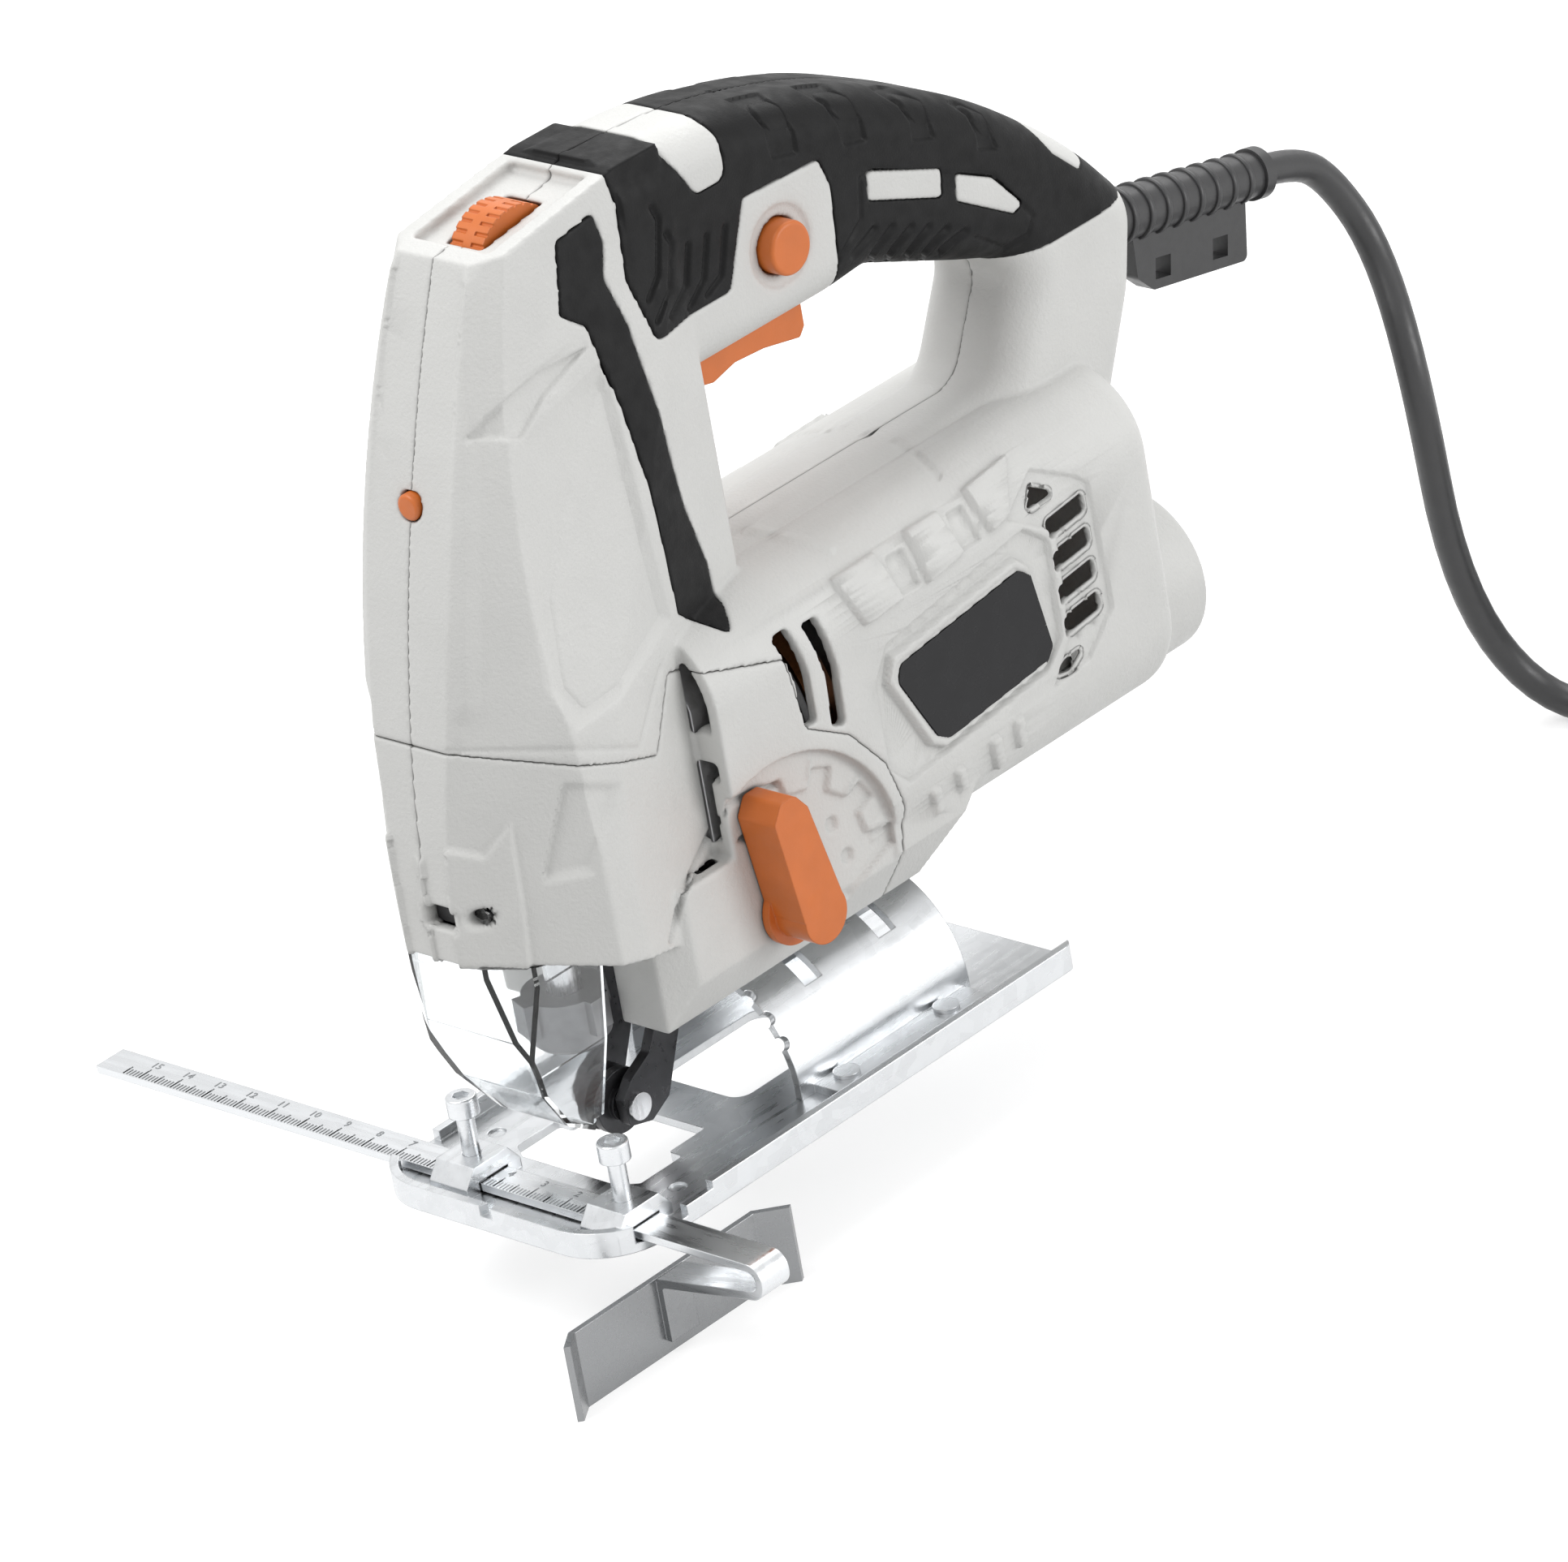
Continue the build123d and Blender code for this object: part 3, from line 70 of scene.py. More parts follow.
BADGE_POCKET = [(111.1, 85), (115.9, 91.9), (162.2, 98.6), (169.4, 92.8), (168.3, 69.4), (162.8, 64.4),
                (116.4, 59.2), (111.1, 64.4)]
BADGE_RIM = [(114.2, 83.6), (116.6, 89.0), (157.8, 93.6), (161.6, 90.4), (165.4, 69.6), (162.2, 65.6),
             (128.2, 62.0), (124.0, 64.4)]
BADGE_PLATE = [(116.2, 84.0), (118.0, 87.0), (157.2, 91.8), (159.8, 89.6), (163.4, 70.6), (161.2, 67.6),
               (128.2, 64.2), (125.2, 66.0)]
SHOULDER_BLOCKS = [
    [(102.4, 113.7), (116.1, 113.9), (122.8, 100.2), (110.6, 99.4)],
    [(126.1, 114.4), (136.4, 114.4), (142.8, 102.0), (131.1, 100.2)],
    [(145.6, 115.6), (160.0, 117.4), (158.0, 104.0), (152.0, 102.6)],
]
SHOULDER_NOTCHES = [
    [(120.0, 111.1), (125.3, 111.1), (128.9, 100.6), (122.8, 100.6)],
    [(140.0, 112.4), (145.0, 112.4), (148.9, 102.4), (143.3, 102.2)],
]
BELLY_RIBS = [
    [(121.0, 54.4), (124.0, 54.8), (124.4, 48.9), (121.4, 48.4)],
    [(129.4, 55.3), (132.4, 55.7), (132.4, 50.5), (129.8, 50.0)],
    [(141.2, 57.0), (144.4, 57.4), (144.8, 50.9), (141.6, 50.4)],
    [(149.2, 58.3), (152.2, 58.7), (152.4, 52.5), (149.4, 52.0)],
]
VENT_PANEL = [(157.8, 102.8), (167.2, 111.1), (180.6, 103.3), (184.4, 100.0), (185.6, 69.4), (176.0, 61.0),
              (164.0, 60.0), (171.0, 68.6), (172.0, 93.8)]
ZIGZAG = [(63, 70), (71.5, 73), (72, 77.5), (78, 77.5), (79.5, 73), (86, 71.5), (88, 75.5), (93.5, 73.5),
          (91.5, 68.5), (97, 64.5), (101, 66.5), (104.5, 61.5), (99.5, 59.5), (101, 54), (108, 53),
          (108, 48.5), (92, 42.5), (86, 48), (84, 58), (74, 66)]
DIMPLES = [(92.0, 60.0), (95.0, 51.0)]
DIMPLE_RADIUS = 1.7
HEAD_PANEL = [(29.4, 178.3), (23.3, 160.0), (22.8, 124.4), (30.0, 110.6), (45.0, 112.0), (61.7, 122.0),
              (56.0, 185.6)]
HEAD_FLAT = [(50.6, 178.9), (28.3, 142.0), (27.8, 122.0), (33.0, 114.0), (45.0, 115.0), (59.0, 124.0),
             (54.0, 180.0)]
CHEEK_PANEL = [(13.3, 185.6), (36.7, 190.0), (52.0, 189.5), (37.8, 184.4), (29.4, 178.3)]
CORNER_RIDGE = [(21.7, 216.7), (13.3, 185.6), (0.0, 131.0)]
COVER_TRAY = [(23.3, 101.9), (40.4, 93.8), (28.2, 77.6), (11.9, 83.2)]
COVER_TRAY_FLOOR = [(20.9, 101.2), (36.4, 93.8), (26.2, 80.6), (11.7, 85.3)]
COVER_BEAK = [(-15.4, 104.2), (-2.8, 96.5), (6.1, 99.9), (5.2, 80.1), (4.0, 66.0), (-30.0, 66.0),
              (-30.0, 104.0)]
DISC_SHOULDER = [(77.8, 76.4), (70.6, 78.5), (63.1, 79.2), (55.1, 75.3), (48.0, 69.1), (42.8, 63.5),
                 (39.6, 57.7)]
BARREL_RIDGE = [(78.5, 137.6), (104.7, 120.0)]
BARREL_LINE = [(100.1, 146.8), (112.1, 144.5), (124.1, 139.4), (133.5, 130.5), (139.6, 121.8)]
GRIP_GROOVES = [
    [(84.5, 205.6), (85.8, 202.2), (82.9, 190.5), (79.2, 186.5)],
    [(87.2, 198.4), (88.5, 195.4), (85.7, 186.1), (80.6, 181.0)],
    [(92.9, 193.5), (90.3, 185.0), (84.8, 180.4)],
    [(98.6, 193.1), (95.6, 184.3), (90.2, 180.1)],
    [(104.2, 192.7), (100.7, 182.9), (95.8, 180.6)],
]
FINGER_GROOVES = [
    [(147.1, 174.1), (139.6, 171.1)],
    [(152.4, 172.3), (144.1, 168.4)],
    [(158.0, 169.9), (148.7, 166.4)],
    [(163.2, 167.7), (154.5, 164.4)],
    [(168.4, 165.1), (159.2, 162.4)],
    [(174.0, 162.2), (165.1, 161.1)],
]
PALM_BANDS = [
    [(105.3, 224.4), (116.2, 215.1), (120.2, 208.6), (121.1, 201.1), (128.5, 199.4), (128.5, 204.3),
     (125.2, 211.4), (117.4, 220.2)],
    [(129.5, 215.3), (138.5, 206.7), (141.6, 200.5), (142.5, 195.2), (148.9, 193.8), (148.5, 199.3),
     (145.0, 205.6), (136.8, 213.4)],
    [(152.7, 204.9), (160.0, 197.7), (162.8, 192.5), (162.8, 187.8), (169.2, 185.8), (168.5, 190.1),
     (166.4, 195.9), (156.0, 204.7)],
    [(174.7, 192.5), (179.8, 187.1), (181.9, 181.3), (181.7, 177.8), (187.5, 175.6), (186.6, 179.3),
     (184.0, 185.4), (176.9, 191.8)],
]
WINDOW_FRAME = [(134.8, 172.0), (143.5, 177.7), (145.3, 186.8), (149.5, 186.6), (184.6, 170.4),
                (194.8, 156.7), (192.3, 153.6), (184.2, 153.7), (176.3, 159.6)]
BUTTON_LIP = [(103.0, 178.7), (111.3, 194.6), (116.0, 195.9), (133.1, 193.1), (135.7, 190.0), (133.2, 177.2)]
SEAM_LIP = [(-30.0, 133.2), (46.6, 99.0), (56.2, 113.4)]

# Positions of the selector lever, each marked by short radial strokes side by side on the ring round it.
SELECTOR_CENTRE = (75.0, 49.0)
SELECTOR_STROKES = {66.0: 1, 37.0: 2, 8.0: 3}     # angle from level, and number of strokes
SELECTOR_RADII = (28.0, 31.5)                     # where a stroke starts and ends
SELECTOR_PITCH = 1.7                              # from one stroke to the next


@dataclass
class Relief:
    """One outline raised over a moulded side by rise, or sunk by it where it is negative."""
    outline: list
    rise: float
    plane: float = SIDE_PLANE
    without: list = None     # an outline inside it that is left out
    floor: list = None       # an outline that the rise grows towards, from nothing at the rim
    blur: float = 0.8        # width of the soft edge
    sides: tuple = (-1, 1)

    def height(self, drawn):
        """Height over the old surface at each drawn point."""
        distance = outline_distance(drawn, self.outline)
        share = step(-distance, self.blur)
        if self.floor is not None:
            inner = np.maximum(outline_distance(drawn, self.floor), 0.0)
            outer = np.maximum(-distance, 0.0)
            share = share * outer / np.maximum(outer + inner, 1e-6)
        if self.without is not None:
            share = share * step(outline_distance(drawn, self.without), self.blur)
        return self.rise * share


@dataclass
class Crease:
    """A soft ridge along a line, or a groove where its rise is negative."""
    line: list
    rise: float
    width: float
    plane: float = SIDE_PLANE
    sides: tuple = (-1, 1)

    def height(self, drawn):
        return self.rise * np.clip(1.0 - line_distance(drawn, self.line) / self.width, 0.0, 1.0)


def step(value, width):
    """Smooth step from 0 to 1 over width, centred on value 0."""
    share = np.clip(value / width + 0.5, 0.0, 1.0)
    return share * share * (3.0 - 2.0 * share)


def line_distance(points, line):
    """Distance from each point to an open line of points."""
    nearest = np.full(len(points), np.inf)
    for start, end in zip(line[:-1], line[1:]):
        start = np.array(start, float)
        along = np.array(end, float) - start
        share = np.clip((points - start) @ along / (along @ along), 0.0, 1.0)
        nearest = np.minimum(nearest, np.linalg.norm(points - start - share[:, None] * along, axis=1))
    return nearest


def outline_distance(points, outline):
    """Distance from each point to a closed outline, negative inside it."""
    nearest = line_distance(points, list(outline) + [outline[0]])
    inside = np.zeros(len(points), bool)
    for (ay, az), (by, bz) in zip(outline, list(outline[1:]) + [outline[0]]):
        if az == bz:
            continue
        crosses = (points[:, 1] > min(az, bz)) & (points[:, 1] <= max(az, bz))
        inside ^= crosses & (points[:, 0] < ay + (points[:, 1] - az) * (by - ay) / (bz - az))
    return np.where(inside, -nearest, nearest)


def polar(centre, radius, angle, aside=0.0):
    """A place at that radius and angle, moved square to the radius by aside."""
    turn = math.radians(angle)
    return (centre[0] + radius * math.cos(turn) - aside * math.sin(turn),
            centre[1] + radius * math.sin(turn) + aside * math.cos(turn))


def ring_outline(place, radius, corners=12):
    """An outline round a place, as a ring of points."""
    angles = [2 * math.pi * i / corners for i in range(corners)]
    return [(place[0] + radius * math.cos(angle), place[1] + radius * math.sin(angle)) for angle in angles]


def stroke_marks(angle, count):
    """The strokes of one position of the selector lever."""
    strokes = []
    for i in range(count):
        aside = SELECTOR_PITCH * (i - (count - 1) / 2)
        ends = [polar(SELECTOR_CENTRE, radius, angle, aside) for radius in SELECTOR_RADII]
        strokes.append(Crease(ends, 0.55, 0.75))
    return strokes


HEAD_RELIEF = [
    Relief(HEAD_PANEL, -1.6, plane=HEAD_PLANE, floor=HEAD_FLAT),
    Relief(CHEEK_PANEL, -0.9, plane=HEAD_PLANE),
    Crease(CORNER_RIDGE, 0.9, 5.0, plane=HEAD_PLANE),
    Relief(ZIGZAG, -1.2, sides=(1,)),
    *[Relief(ring_outline(place, DIMPLE_RADIUS), -0.9, sides=(1,)) for place in DIMPLES],
    Crease(DISC_SHOULDER, -1.3, 1.1),
]
HOUSING_RELIEF = [
    *HEAD_RELIEF,
    Relief(BADGE_POCKET, -1.3, without=BADGE_RIM, blur=0.6),
    Relief(BADGE_RIM, 0.6, without=BADGE_PLATE, blur=0.6),
    *[Relief(block, 1.5, blur=0.6) for block in SHOULDER_BLOCKS],
    *[Relief(notch, -1.1, blur=0.6) for notch in SHOULDER_NOTCHES],
    *[Relief(rib, 1.2, blur=0.6) for rib in BELLY_RIBS],
    Relief(VENT_PANEL, -1.0, blur=0.6),
    Crease(BARREL_RIDGE, 0.6, 1.6),
    Crease(BARREL_LINE, -0.6, 1.4),
    Crease(SEAM_LIP, -0.4, 0.8, plane=HEAD_PLANE),
]
COVER_RELIEF = [
    *HEAD_RELIEF,
    *[stroke for angle, count in SELECTOR_STROKES.items() for stroke in stroke_marks(angle, count)],
    Relief(COVER_TRAY, -1.1, plane=HEAD_PLANE, floor=COVER_TRAY_FLOOR),
    Relief(COVER_BEAK, 0.9, plane=HEAD_PLANE, blur=1.6),
]
GRIP_RELIEF = [
    *[Crease(groove, -1.0, 1.0, plane=GRIP_PLANE) for groove in GRIP_GROOVES],
    *[Crease(groove, -0.9, 1.2, plane=GRIP_PLANE) for groove in FINGER_GROOVES],
    *[Relief(band, -0.7, plane=GRIP_PLANE, blur=0.8) for band in PALM_BANDS],
    Crease(WINDOW_FRAME, -0.5, 0.8, plane=GRIP_PLANE),
    Crease(BUTTON_LIP, 0.5, 1.0, plane=GRIP_PLANE),
]


# ---- Properties ----
def length(label, about, value):
    return FloatProperty(name=label, description=about, default=value, min=0.0, precision=5, unit="LENGTH")


def number(label, about, value, least):
    return IntProperty(name=label, description=about, default=value, min=least)


def colour(label, about, value):
    return FloatVectorProperty(name=label, description=about, default=value, subtype="COLOR",
                               min=0.0, max=1.0)


class JigsawSizes(bpy.types.PropertyGroup):
    shell_grid: length("Shell grid", "Spacing of the points that carry the moulded relief", 0.6 * MM)
    grip_grid: length("Grip grid", "Spacing of the points of the soft grips", 0.5 * MM)
    shell_triangles: number("Shell triangles", "Most triangles of one moulded half", 190000, 1000)
    grip_triangles: number("Grip triangles", "Most triangles of one soft grip", 120000, 1000)
    edge_rounds: number("Edge rounds", "Rounds of smoothing over moulded edges", 2, 0)


class JigsawColours(bpy.types.PropertyGroup):
    shell: colour("Shell", "Light moulded plastic of the housing", (0.600, 0.600, 0.585))
    rubber: colour("Rubber", "Soft grips", (0.0035, 0.0035, 0.0037))
    accent: colour("Accent", "Levers and buttons", (0.610, 0.150, 0.024))
    zinc: colour("Zinc", "Plated pressed steel", (0.690, 0.705, 0.720))
    backdrop: colour("Backdrop", "Floor around the tool", (0.500, 0.500, 0.500))


def sizes():
    return bpy.context.scene.jigsaw_sizes


def colours():
    return bpy.context.scene.jigsaw_colours


# ---- Finishes ----
MIX_FROM, MIX_TO, MIX_RESULT = 6, 7, 2     # the colour sockets of a mix node


class Finish:
    """A material being made: one shader, with patterns that lie still on the object."""

    def __init__(self, name, base, roughness, metallic=0.0, **constants):
        self.material = bpy.data.materials.new(name)
        self.material.use_nodes = True
        self.nodes = self.material.node_tree.nodes
        self.links = self.material.node_tree.links
        self.shader = self.nodes["Principled BSDF"]
        self.base = tuple(base)
        values = {"Base Color": (*base, 1.0), "Roughness": roughness, "Metallic": metallic}
        values.update({word.replace("_", " "): value for word, value in constants.items()})
        for socket, value in values.items():
            self.shader.inputs[socket].default_value = value
        self.place = self.nodes.new("ShaderNodeTexCoord")
        self.normal = None

    def noise(self, size, stretch=(1.0, 1.0, 1.0), detail=2.0):
        """A noise whose features have that size in metres, drawn out along the axes by stretch."""
        mapping = self.nodes.new("ShaderNodeMapping")
        mapping.inputs["Scale"].default_value = [1.0 / (size * share) for share in stretch]
        noise = self.nodes.new("ShaderNodeTexNoise")
        noise.inputs["Scale"].default_value = 1.0
        noise.inputs["Detail"].default_value = detail
        self.links.new(self.place.outputs["Object"], mapping.inputs["Vector"])
        self.links.new(mapping.outputs["Vector"], noise.inputs["Vector"])
        return noise.outputs["Fac"]

    def spangle(self, size):
        """Flat cells of that size in metres, each at its own level."""
        cells = self.nodes.new("ShaderNodeTexVoronoi")
        cells.inputs["Scale"].default_value = 1.0 / size
        self.links.new(self.place.outputs["Object"], cells.inputs["Vector"])
        level = self.nodes.new("ShaderNodeSeparateColor")
        self.links.new(cells.outputs["Color"], level.inputs["Color"])
        return level.outputs["Red"]

    def spread(self, pattern, low, high, start=0.3, end=0.7):
        """The pattern's range from start to end, brought to low to high."""
        mapped = self.nodes.new("ShaderNodeMapRange")
        for socket, value in (("From Min", start), ("From Max", end), ("To Min", low), ("To Max", high)):
            mapped.inputs[socket].default_value = value
        self.links.new(pattern, mapped.inputs["Value"])
        return mapped.outputs["Result"]

    def between(self, axis, start, end):
        """1 below the start and 0 above the end of that stretch of an axis, in metres of the frame."""
        place = self.nodes.new("ShaderNodeSeparateXYZ")
        self.links.new(self.place.outputs["Object"], place.inputs["Vector"])
        return self.spread(place.outputs[axis], 1.0, 0.0, start, end)

    def tint(self, pattern, other):
        """Colour that goes over to another where the pattern is strong."""
        mix = self.nodes.new("ShaderNodeMix")
        mix.data_type = "RGBA"
        mix.inputs[MIX_FROM].default_value = (*self.base, 1.0)
        mix.inputs[MIX_TO].default_value = (*other, 1.0)
        before = self.shader.inputs["Base Color"].links
        if before:
            self.links.new(before[0].from_socket, mix.inputs[MIX_FROM])
        self.links.new(pattern, mix.inputs["Factor"])
        self.links.new(mix.outputs[MIX_RESULT], self.shader.inputs["Base Color"])

    def crevices(self, reach, other):
        """Painted shade: colour that goes over to another, darker one in creases and corners within that
        reach, where shade falls, taken from an ambient occlusion mask.
        """
        near = self.nodes.new("ShaderNodeAmbientOcclusion")
        near.samples = 6
        near.inputs["Distance"].default_value = reach
        self.tint(self.spread(near.outputs["AO"], 1.0, 0.0, 0.35, 0.9), other)

    def rough(self, pattern, low, high):
        self.links.new(self.spread(pattern, low, high), self.shader.inputs["Roughness"])

    def rounded(self, radius):
        """Edges that catch the light over that radius."""
        edge = self.nodes.new("ShaderNodeBevel")
        edge.samples = 6
        edge.inputs["Radius"].default_value = radius
        self.normal = edge.outputs["Normal"]
        self.links.new(self.normal, self.shader.inputs["Normal"])

    def bump(self, pattern, depth, strength=1.0):
        bump = self.nodes.new("ShaderNodeBump")
        bump.inputs["Distance"].default_value = depth
        bump.inputs["Strength"].default_value = strength
        self.links.new(pattern, bump.inputs["Height"])
        if self.normal is not None:
            self.links.new(self.normal, bump.inputs["Normal"])
        self.normal = bump.outputs["Normal"]
        self.links.new(self.normal, self.shader.inputs["Normal"])


def once(make):
    """The material that make() returns, made on the first call and kept for the next ones."""
    kept = {}

    def get():
        if make.__name__ not in kept:
            kept[make.__name__] = make()
        return kept[make.__name__]

    return get


def shade(base, factor):
    return tuple(min(1.0, value * factor) for value in base)


def patterned(name, base, roughness, mottle, haze=None, edge=None, grain=None, **constants):
    """A material with the usual patterns, their sizes in metres.

    mottle is the size and shade of its patches, haze the size, least and most of its roughness, edge the
    radius over which edges catch the light, and grain the size, depth and strength of its fine bumps.
    """
    finish = Finish(name, base, roughness, **constants)
    finish.tint(finish.noise(mottle[0]), shade(base, mottle[1]))
    if haze:
        finish.rough(finish.noise(haze[0]), haze[1], haze[2])
    if edge:
        finish.rounded(edge)
    if grain:
        finish.bump(finish.noise(grain[0]), grain[1], grain[2])
    return finish.material


@once
def shell_plastic():
    base = tuple(colours().shell)
    finish = Finish("shell_plastic", base, 0.48, Specular_IOR_Level=0.42)
    finish.tint(finish.spread(finish.noise(0.018, detail=3.0), 0.0, 1.0), shade(base, 0.955))
    # Painted shade: the base colour darkens to 0.42 of itself in creases and corners within 2.2 mm.
    finish.crevices(0.0022, shade(base, 0.42))
    finish.rough(finish.noise(0.006), 0.44, 0.54)
    finish.bump(finish.noise(0.0009, detail=2.0), 0.00012, 1.0)
    finish.bump(finish.noise(0.00035, detail=1.0), 0.00004, 0.8)
    return finish.material


@once
def grip_rubber():
    base = tuple(colours().rubber)
    finish = Finish("grip_rubber", base, 0.46, Specular_IOR_Level=0.18)
    finish.tint(finish.spread(finish.noise(0.012, detail=3.0), 0.0, 1.0), shade(base, 1.7))
    finish.rough(finish.noise(0.004), 0.44, 0.6)
    finish.bump(finish.noise(0.0005, detail=1.0), 0.00005, 0.9)
    return finish.material


@once
def accent_plastic():
    base = tuple(colours().accent)
    finish = Finish("accent_plastic", base, 0.36, Specular_IOR_Level=0.5)
    finish.tint(finish.spread(finish.noise(0.008), 0.0, 1.0), shade(base, 0.9))
    finish.rough(finish.noise(0.003), 0.32, 0.44)
    finish.rounded(0.0005)
    finish.bump(finish.noise(0.0006), 0.00003, 0.7)
    return finish.material


@once
def plate_gloss():
    return patterned("plate_gloss", (0.012, 0.012, 0.013), 0.25, mottle=(0.006, 1.5),
                     haze=(0.003, 0.2, 0.3), edge=0.0003, Specular_IOR_Level=0.2)


@once
def black_plastic():
    return patterned("black_plastic", (0.020, 0.020, 0.021), 0.46, mottle=(0.005, 1.6),
                     haze=(0.003, 0.38, 0.54), edge=0.0004, grain=(0.0006, 0.00004, 0.8))


@once
def zinc_plate():
    base = tuple(colours().zinc)
    finish = Finish("zinc_plate", base, 0.3, metallic=1.0)
    finish.tint(finish.spangle(0.0035), shade(base, 0.93))
    finish.rough(finish.noise(0.002, stretch=(1.0, 9.0, 1.0), detail=4.0), 0.22, 0.38)
    finish.rounded(0.0004)
    finish.bump(finish.noise(0.0006, stretch=(1.0, 14.0, 1.0), detail=3.0), 0.00001, 0.8)
    finish.bump(finish.noise(0.007, detail=2.0), 0.00008, 0.6)
    return finish.material


@once
def guide_zinc():
    base = shade(tuple(colours().zinc), 1.03)
    finish = Finish("guide_zinc", base, 0.28, metallic=1.0)
    # Painted reflection: the zinc darkens to 0.42 of itself below 2 mm under the shoe's underside, fully so
    # below 6 mm, standing in for the darker surroundings that the fence reflects.
    finish.tint(finish.between(2, -6.0 * MM, -2.0 * MM), shade(base, 0.42))
    finish.rough(finish.noise(0.002, stretch=(9.0, 1.0, 1.0), detail=4.0), 0.2, 0.36)
    finish.rounded(0.0003)
    finish.bump(finish.noise(0.0005, stretch=(14.0, 1.0, 1.0), detail=3.0), 0.00001, 0.8)
    return finish.material


@once
def bright_steel():
    base = (0.62, 0.62, 0.63)
    finish = Finish("bright_steel", base, 0.24, metallic=1.0)
    finish.tint(finish.noise(0.004), shade(base, 0.85))
    finish.rough(finish.noise(0.0008, stretch=(1.0, 1.0, 8.0)), 0.18, 0.32)
    finish.rounded(0.0002)
    return finish.material


@once
def black_oxide():
    return patterned("black_oxide", (0.030, 0.030, 0.032), 0.34, mottle=(0.003, 2.2),
                     haze=(0.0015, 0.26, 0.44), edge=0.0003, grain=(0.0004, 0.00002, 0.6), metallic=0.6)


@once
def sintered_steel():
    return patterned("sintered_steel", (0.16, 0.16, 0.165), 0.42, mottle=(0.002, 1.6),
                     haze=(0.001, 0.34, 0.52), edge=0.0003, grain=(0.0003, 0.00003, 0.9), metallic=0.9)


@once
def cast_alloy():
    base = (0.52, 0.52, 0.53)
    finish = Finish("cast_alloy", base, 0.5, metallic=1.0)
    finish.tint(finish.noise(0.01, detail=4.0), shade(base, 0.8))
    finish.rough(finish.noise(0.002), 0.42, 0.6)
    finish.rounded(0.0005)
    finish.bump(finish.noise(0.0007), 0.00006, 0.9)
    return finish.material


@once
def lamination_steel():
    base = (0.22, 0.22, 0.23)
    finish = Finish("lamination_steel", base, 0.4, metallic=1.0)
    finish.tint(finish.noise(0.0005, stretch=(40.0, 1.0, 40.0)), shade(base, 0.5))
    finish.bump(finish.noise(0.0005, stretch=(40.0, 1.0, 40.0)), 0.00005, 0.9)
    return finish.material


@once
def winding_copper():
    base = (0.62, 0.25, 0.10)
    finish = Finish("winding_copper", base, 0.3, metallic=1.0, Coat_Weight=0.4, Coat_Roughness=0.2)
    finish.tint(finish.noise(0.0008, stretch=(1.0, 8.0, 1.0)), shade(base, 0.6))
    finish.bump(finish.noise(0.0005, stretch=(1.0, 12.0, 1.0)), 0.0001, 0.9)
    return finish.material


@once
def bearing_bronze():
    return patterned("bearing_bronze", (0.50, 0.36, 0.16), 0.36, mottle=(0.002, 0.75),
                     haze=(0.001, 0.28, 0.46), edge=0.0003, metallic=1.0)


@once
def clear_plastic():
    finish = Finish("clear_plastic", (0.96, 0.98, 0.99), 0.03, IOR=1.49, Transmission_Weight=1.0)
    finish.rough(finish.noise(0.004), 0.02, 0.07)
    finish.bump(finish.noise(0.006), 0.00004, 0.5)
    return finish.material


@once
def cord_rubber():
    base = (0.030, 0.030, 0.031)
    finish = Finish("cord_rubber", base, 0.38, Specular_IOR_Level=0.5)
    finish.tint(finish.noise(0.006), shade(base, 1.3))
    finish.rough(finish.noise(0.002, detail=3.0), 0.32, 0.46)
    finish.bump(finish.noise(0.0007, detail=3.0), 0.00003, 0.6)
    return finish.material


@once
def mark_grey():
    return patterned("mark_grey", (0.34, 0.35, 0.36), 0.42, mottle=(0.001, 0.7), metallic=1.0)


# ---- Meshes ----
SEWN_WITHIN = 0.002 * MM


def new_piece(name, mesh):
    piece = bpy.data.objects.new(name, mesh)
    bpy.context.scene.collection.objects.link(piece)
    return piece


def built_piece(name, work):
    """A piece with the mesh that was built in work."""
    mesh = bpy.data.meshes.new(name)
    work.to_mesh(mesh)
    work.free()
    return new_piece(name, mesh)


def sewn_copy(name, node):
    """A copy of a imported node's mesh, with its loose triangles sewn up."""
    work = bmesh.new()
    work.from_mesh(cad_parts[node].data)
    bmesh.ops.remove_doubles(work, verts=work.verts, dist=SEWN_WITHIN)
    piece = built_piece(name, work)
    piece.data.materials.clear()
    return piece


def settle(piece):
    """Turns a piece's modifiers into plain mesh."""
    depsgraph = bpy.context.evaluated_depsgraph_get()
    mesh = bpy.data.meshes.new_from_object(piece.evaluated_get(depsgraph), depsgraph=depsgraph)
    piece.modifiers.clear()
    piece.data = mesh
    return piece


def points_of(mesh):
    points = np.zeros(len(mesh.vertices) * 3, np.float32)
    mesh.vertices.foreach_get("co", points)
    return points.reshape(-1, 3)


def normals_of(mesh):
    normals = np.zeros(len(mesh.vertices) * 3, np.float32)
    mesh.vertex_normals.foreach_get("vector", normals)
    return normals.reshape(-1, 3)


def remeshed(name, node, grid):
    """A copy of a node on an even grid of points, with softly rounded edges."""
    piece = sewn_copy(name, node)
    remesh = piece.modifiers.new("grid", "REMESH")
    remesh.mode = "VOXEL"
    remesh.voxel_size = grid
    remesh.use_smooth_shade = True
    if sizes().edge_rounds:
        relax = piece.modifiers.new("relax", "SMOOTH")
        relax.factor = 0.5
        relax.iterations = sizes().edge_rounds
    return settle(piece)


def thin_out(piece, most):
    """Fewer triangles where the piece is flat, down to the given number."""
    triangles = sum(len(face.vertices) - 2 for face in piece.data.polygons)
    if triangles <= most:
        return piece
    decimate = piece.modifiers.new("thin_out", "DECIMATE")
    decimate.ratio = most / triangles
    return settle(piece)


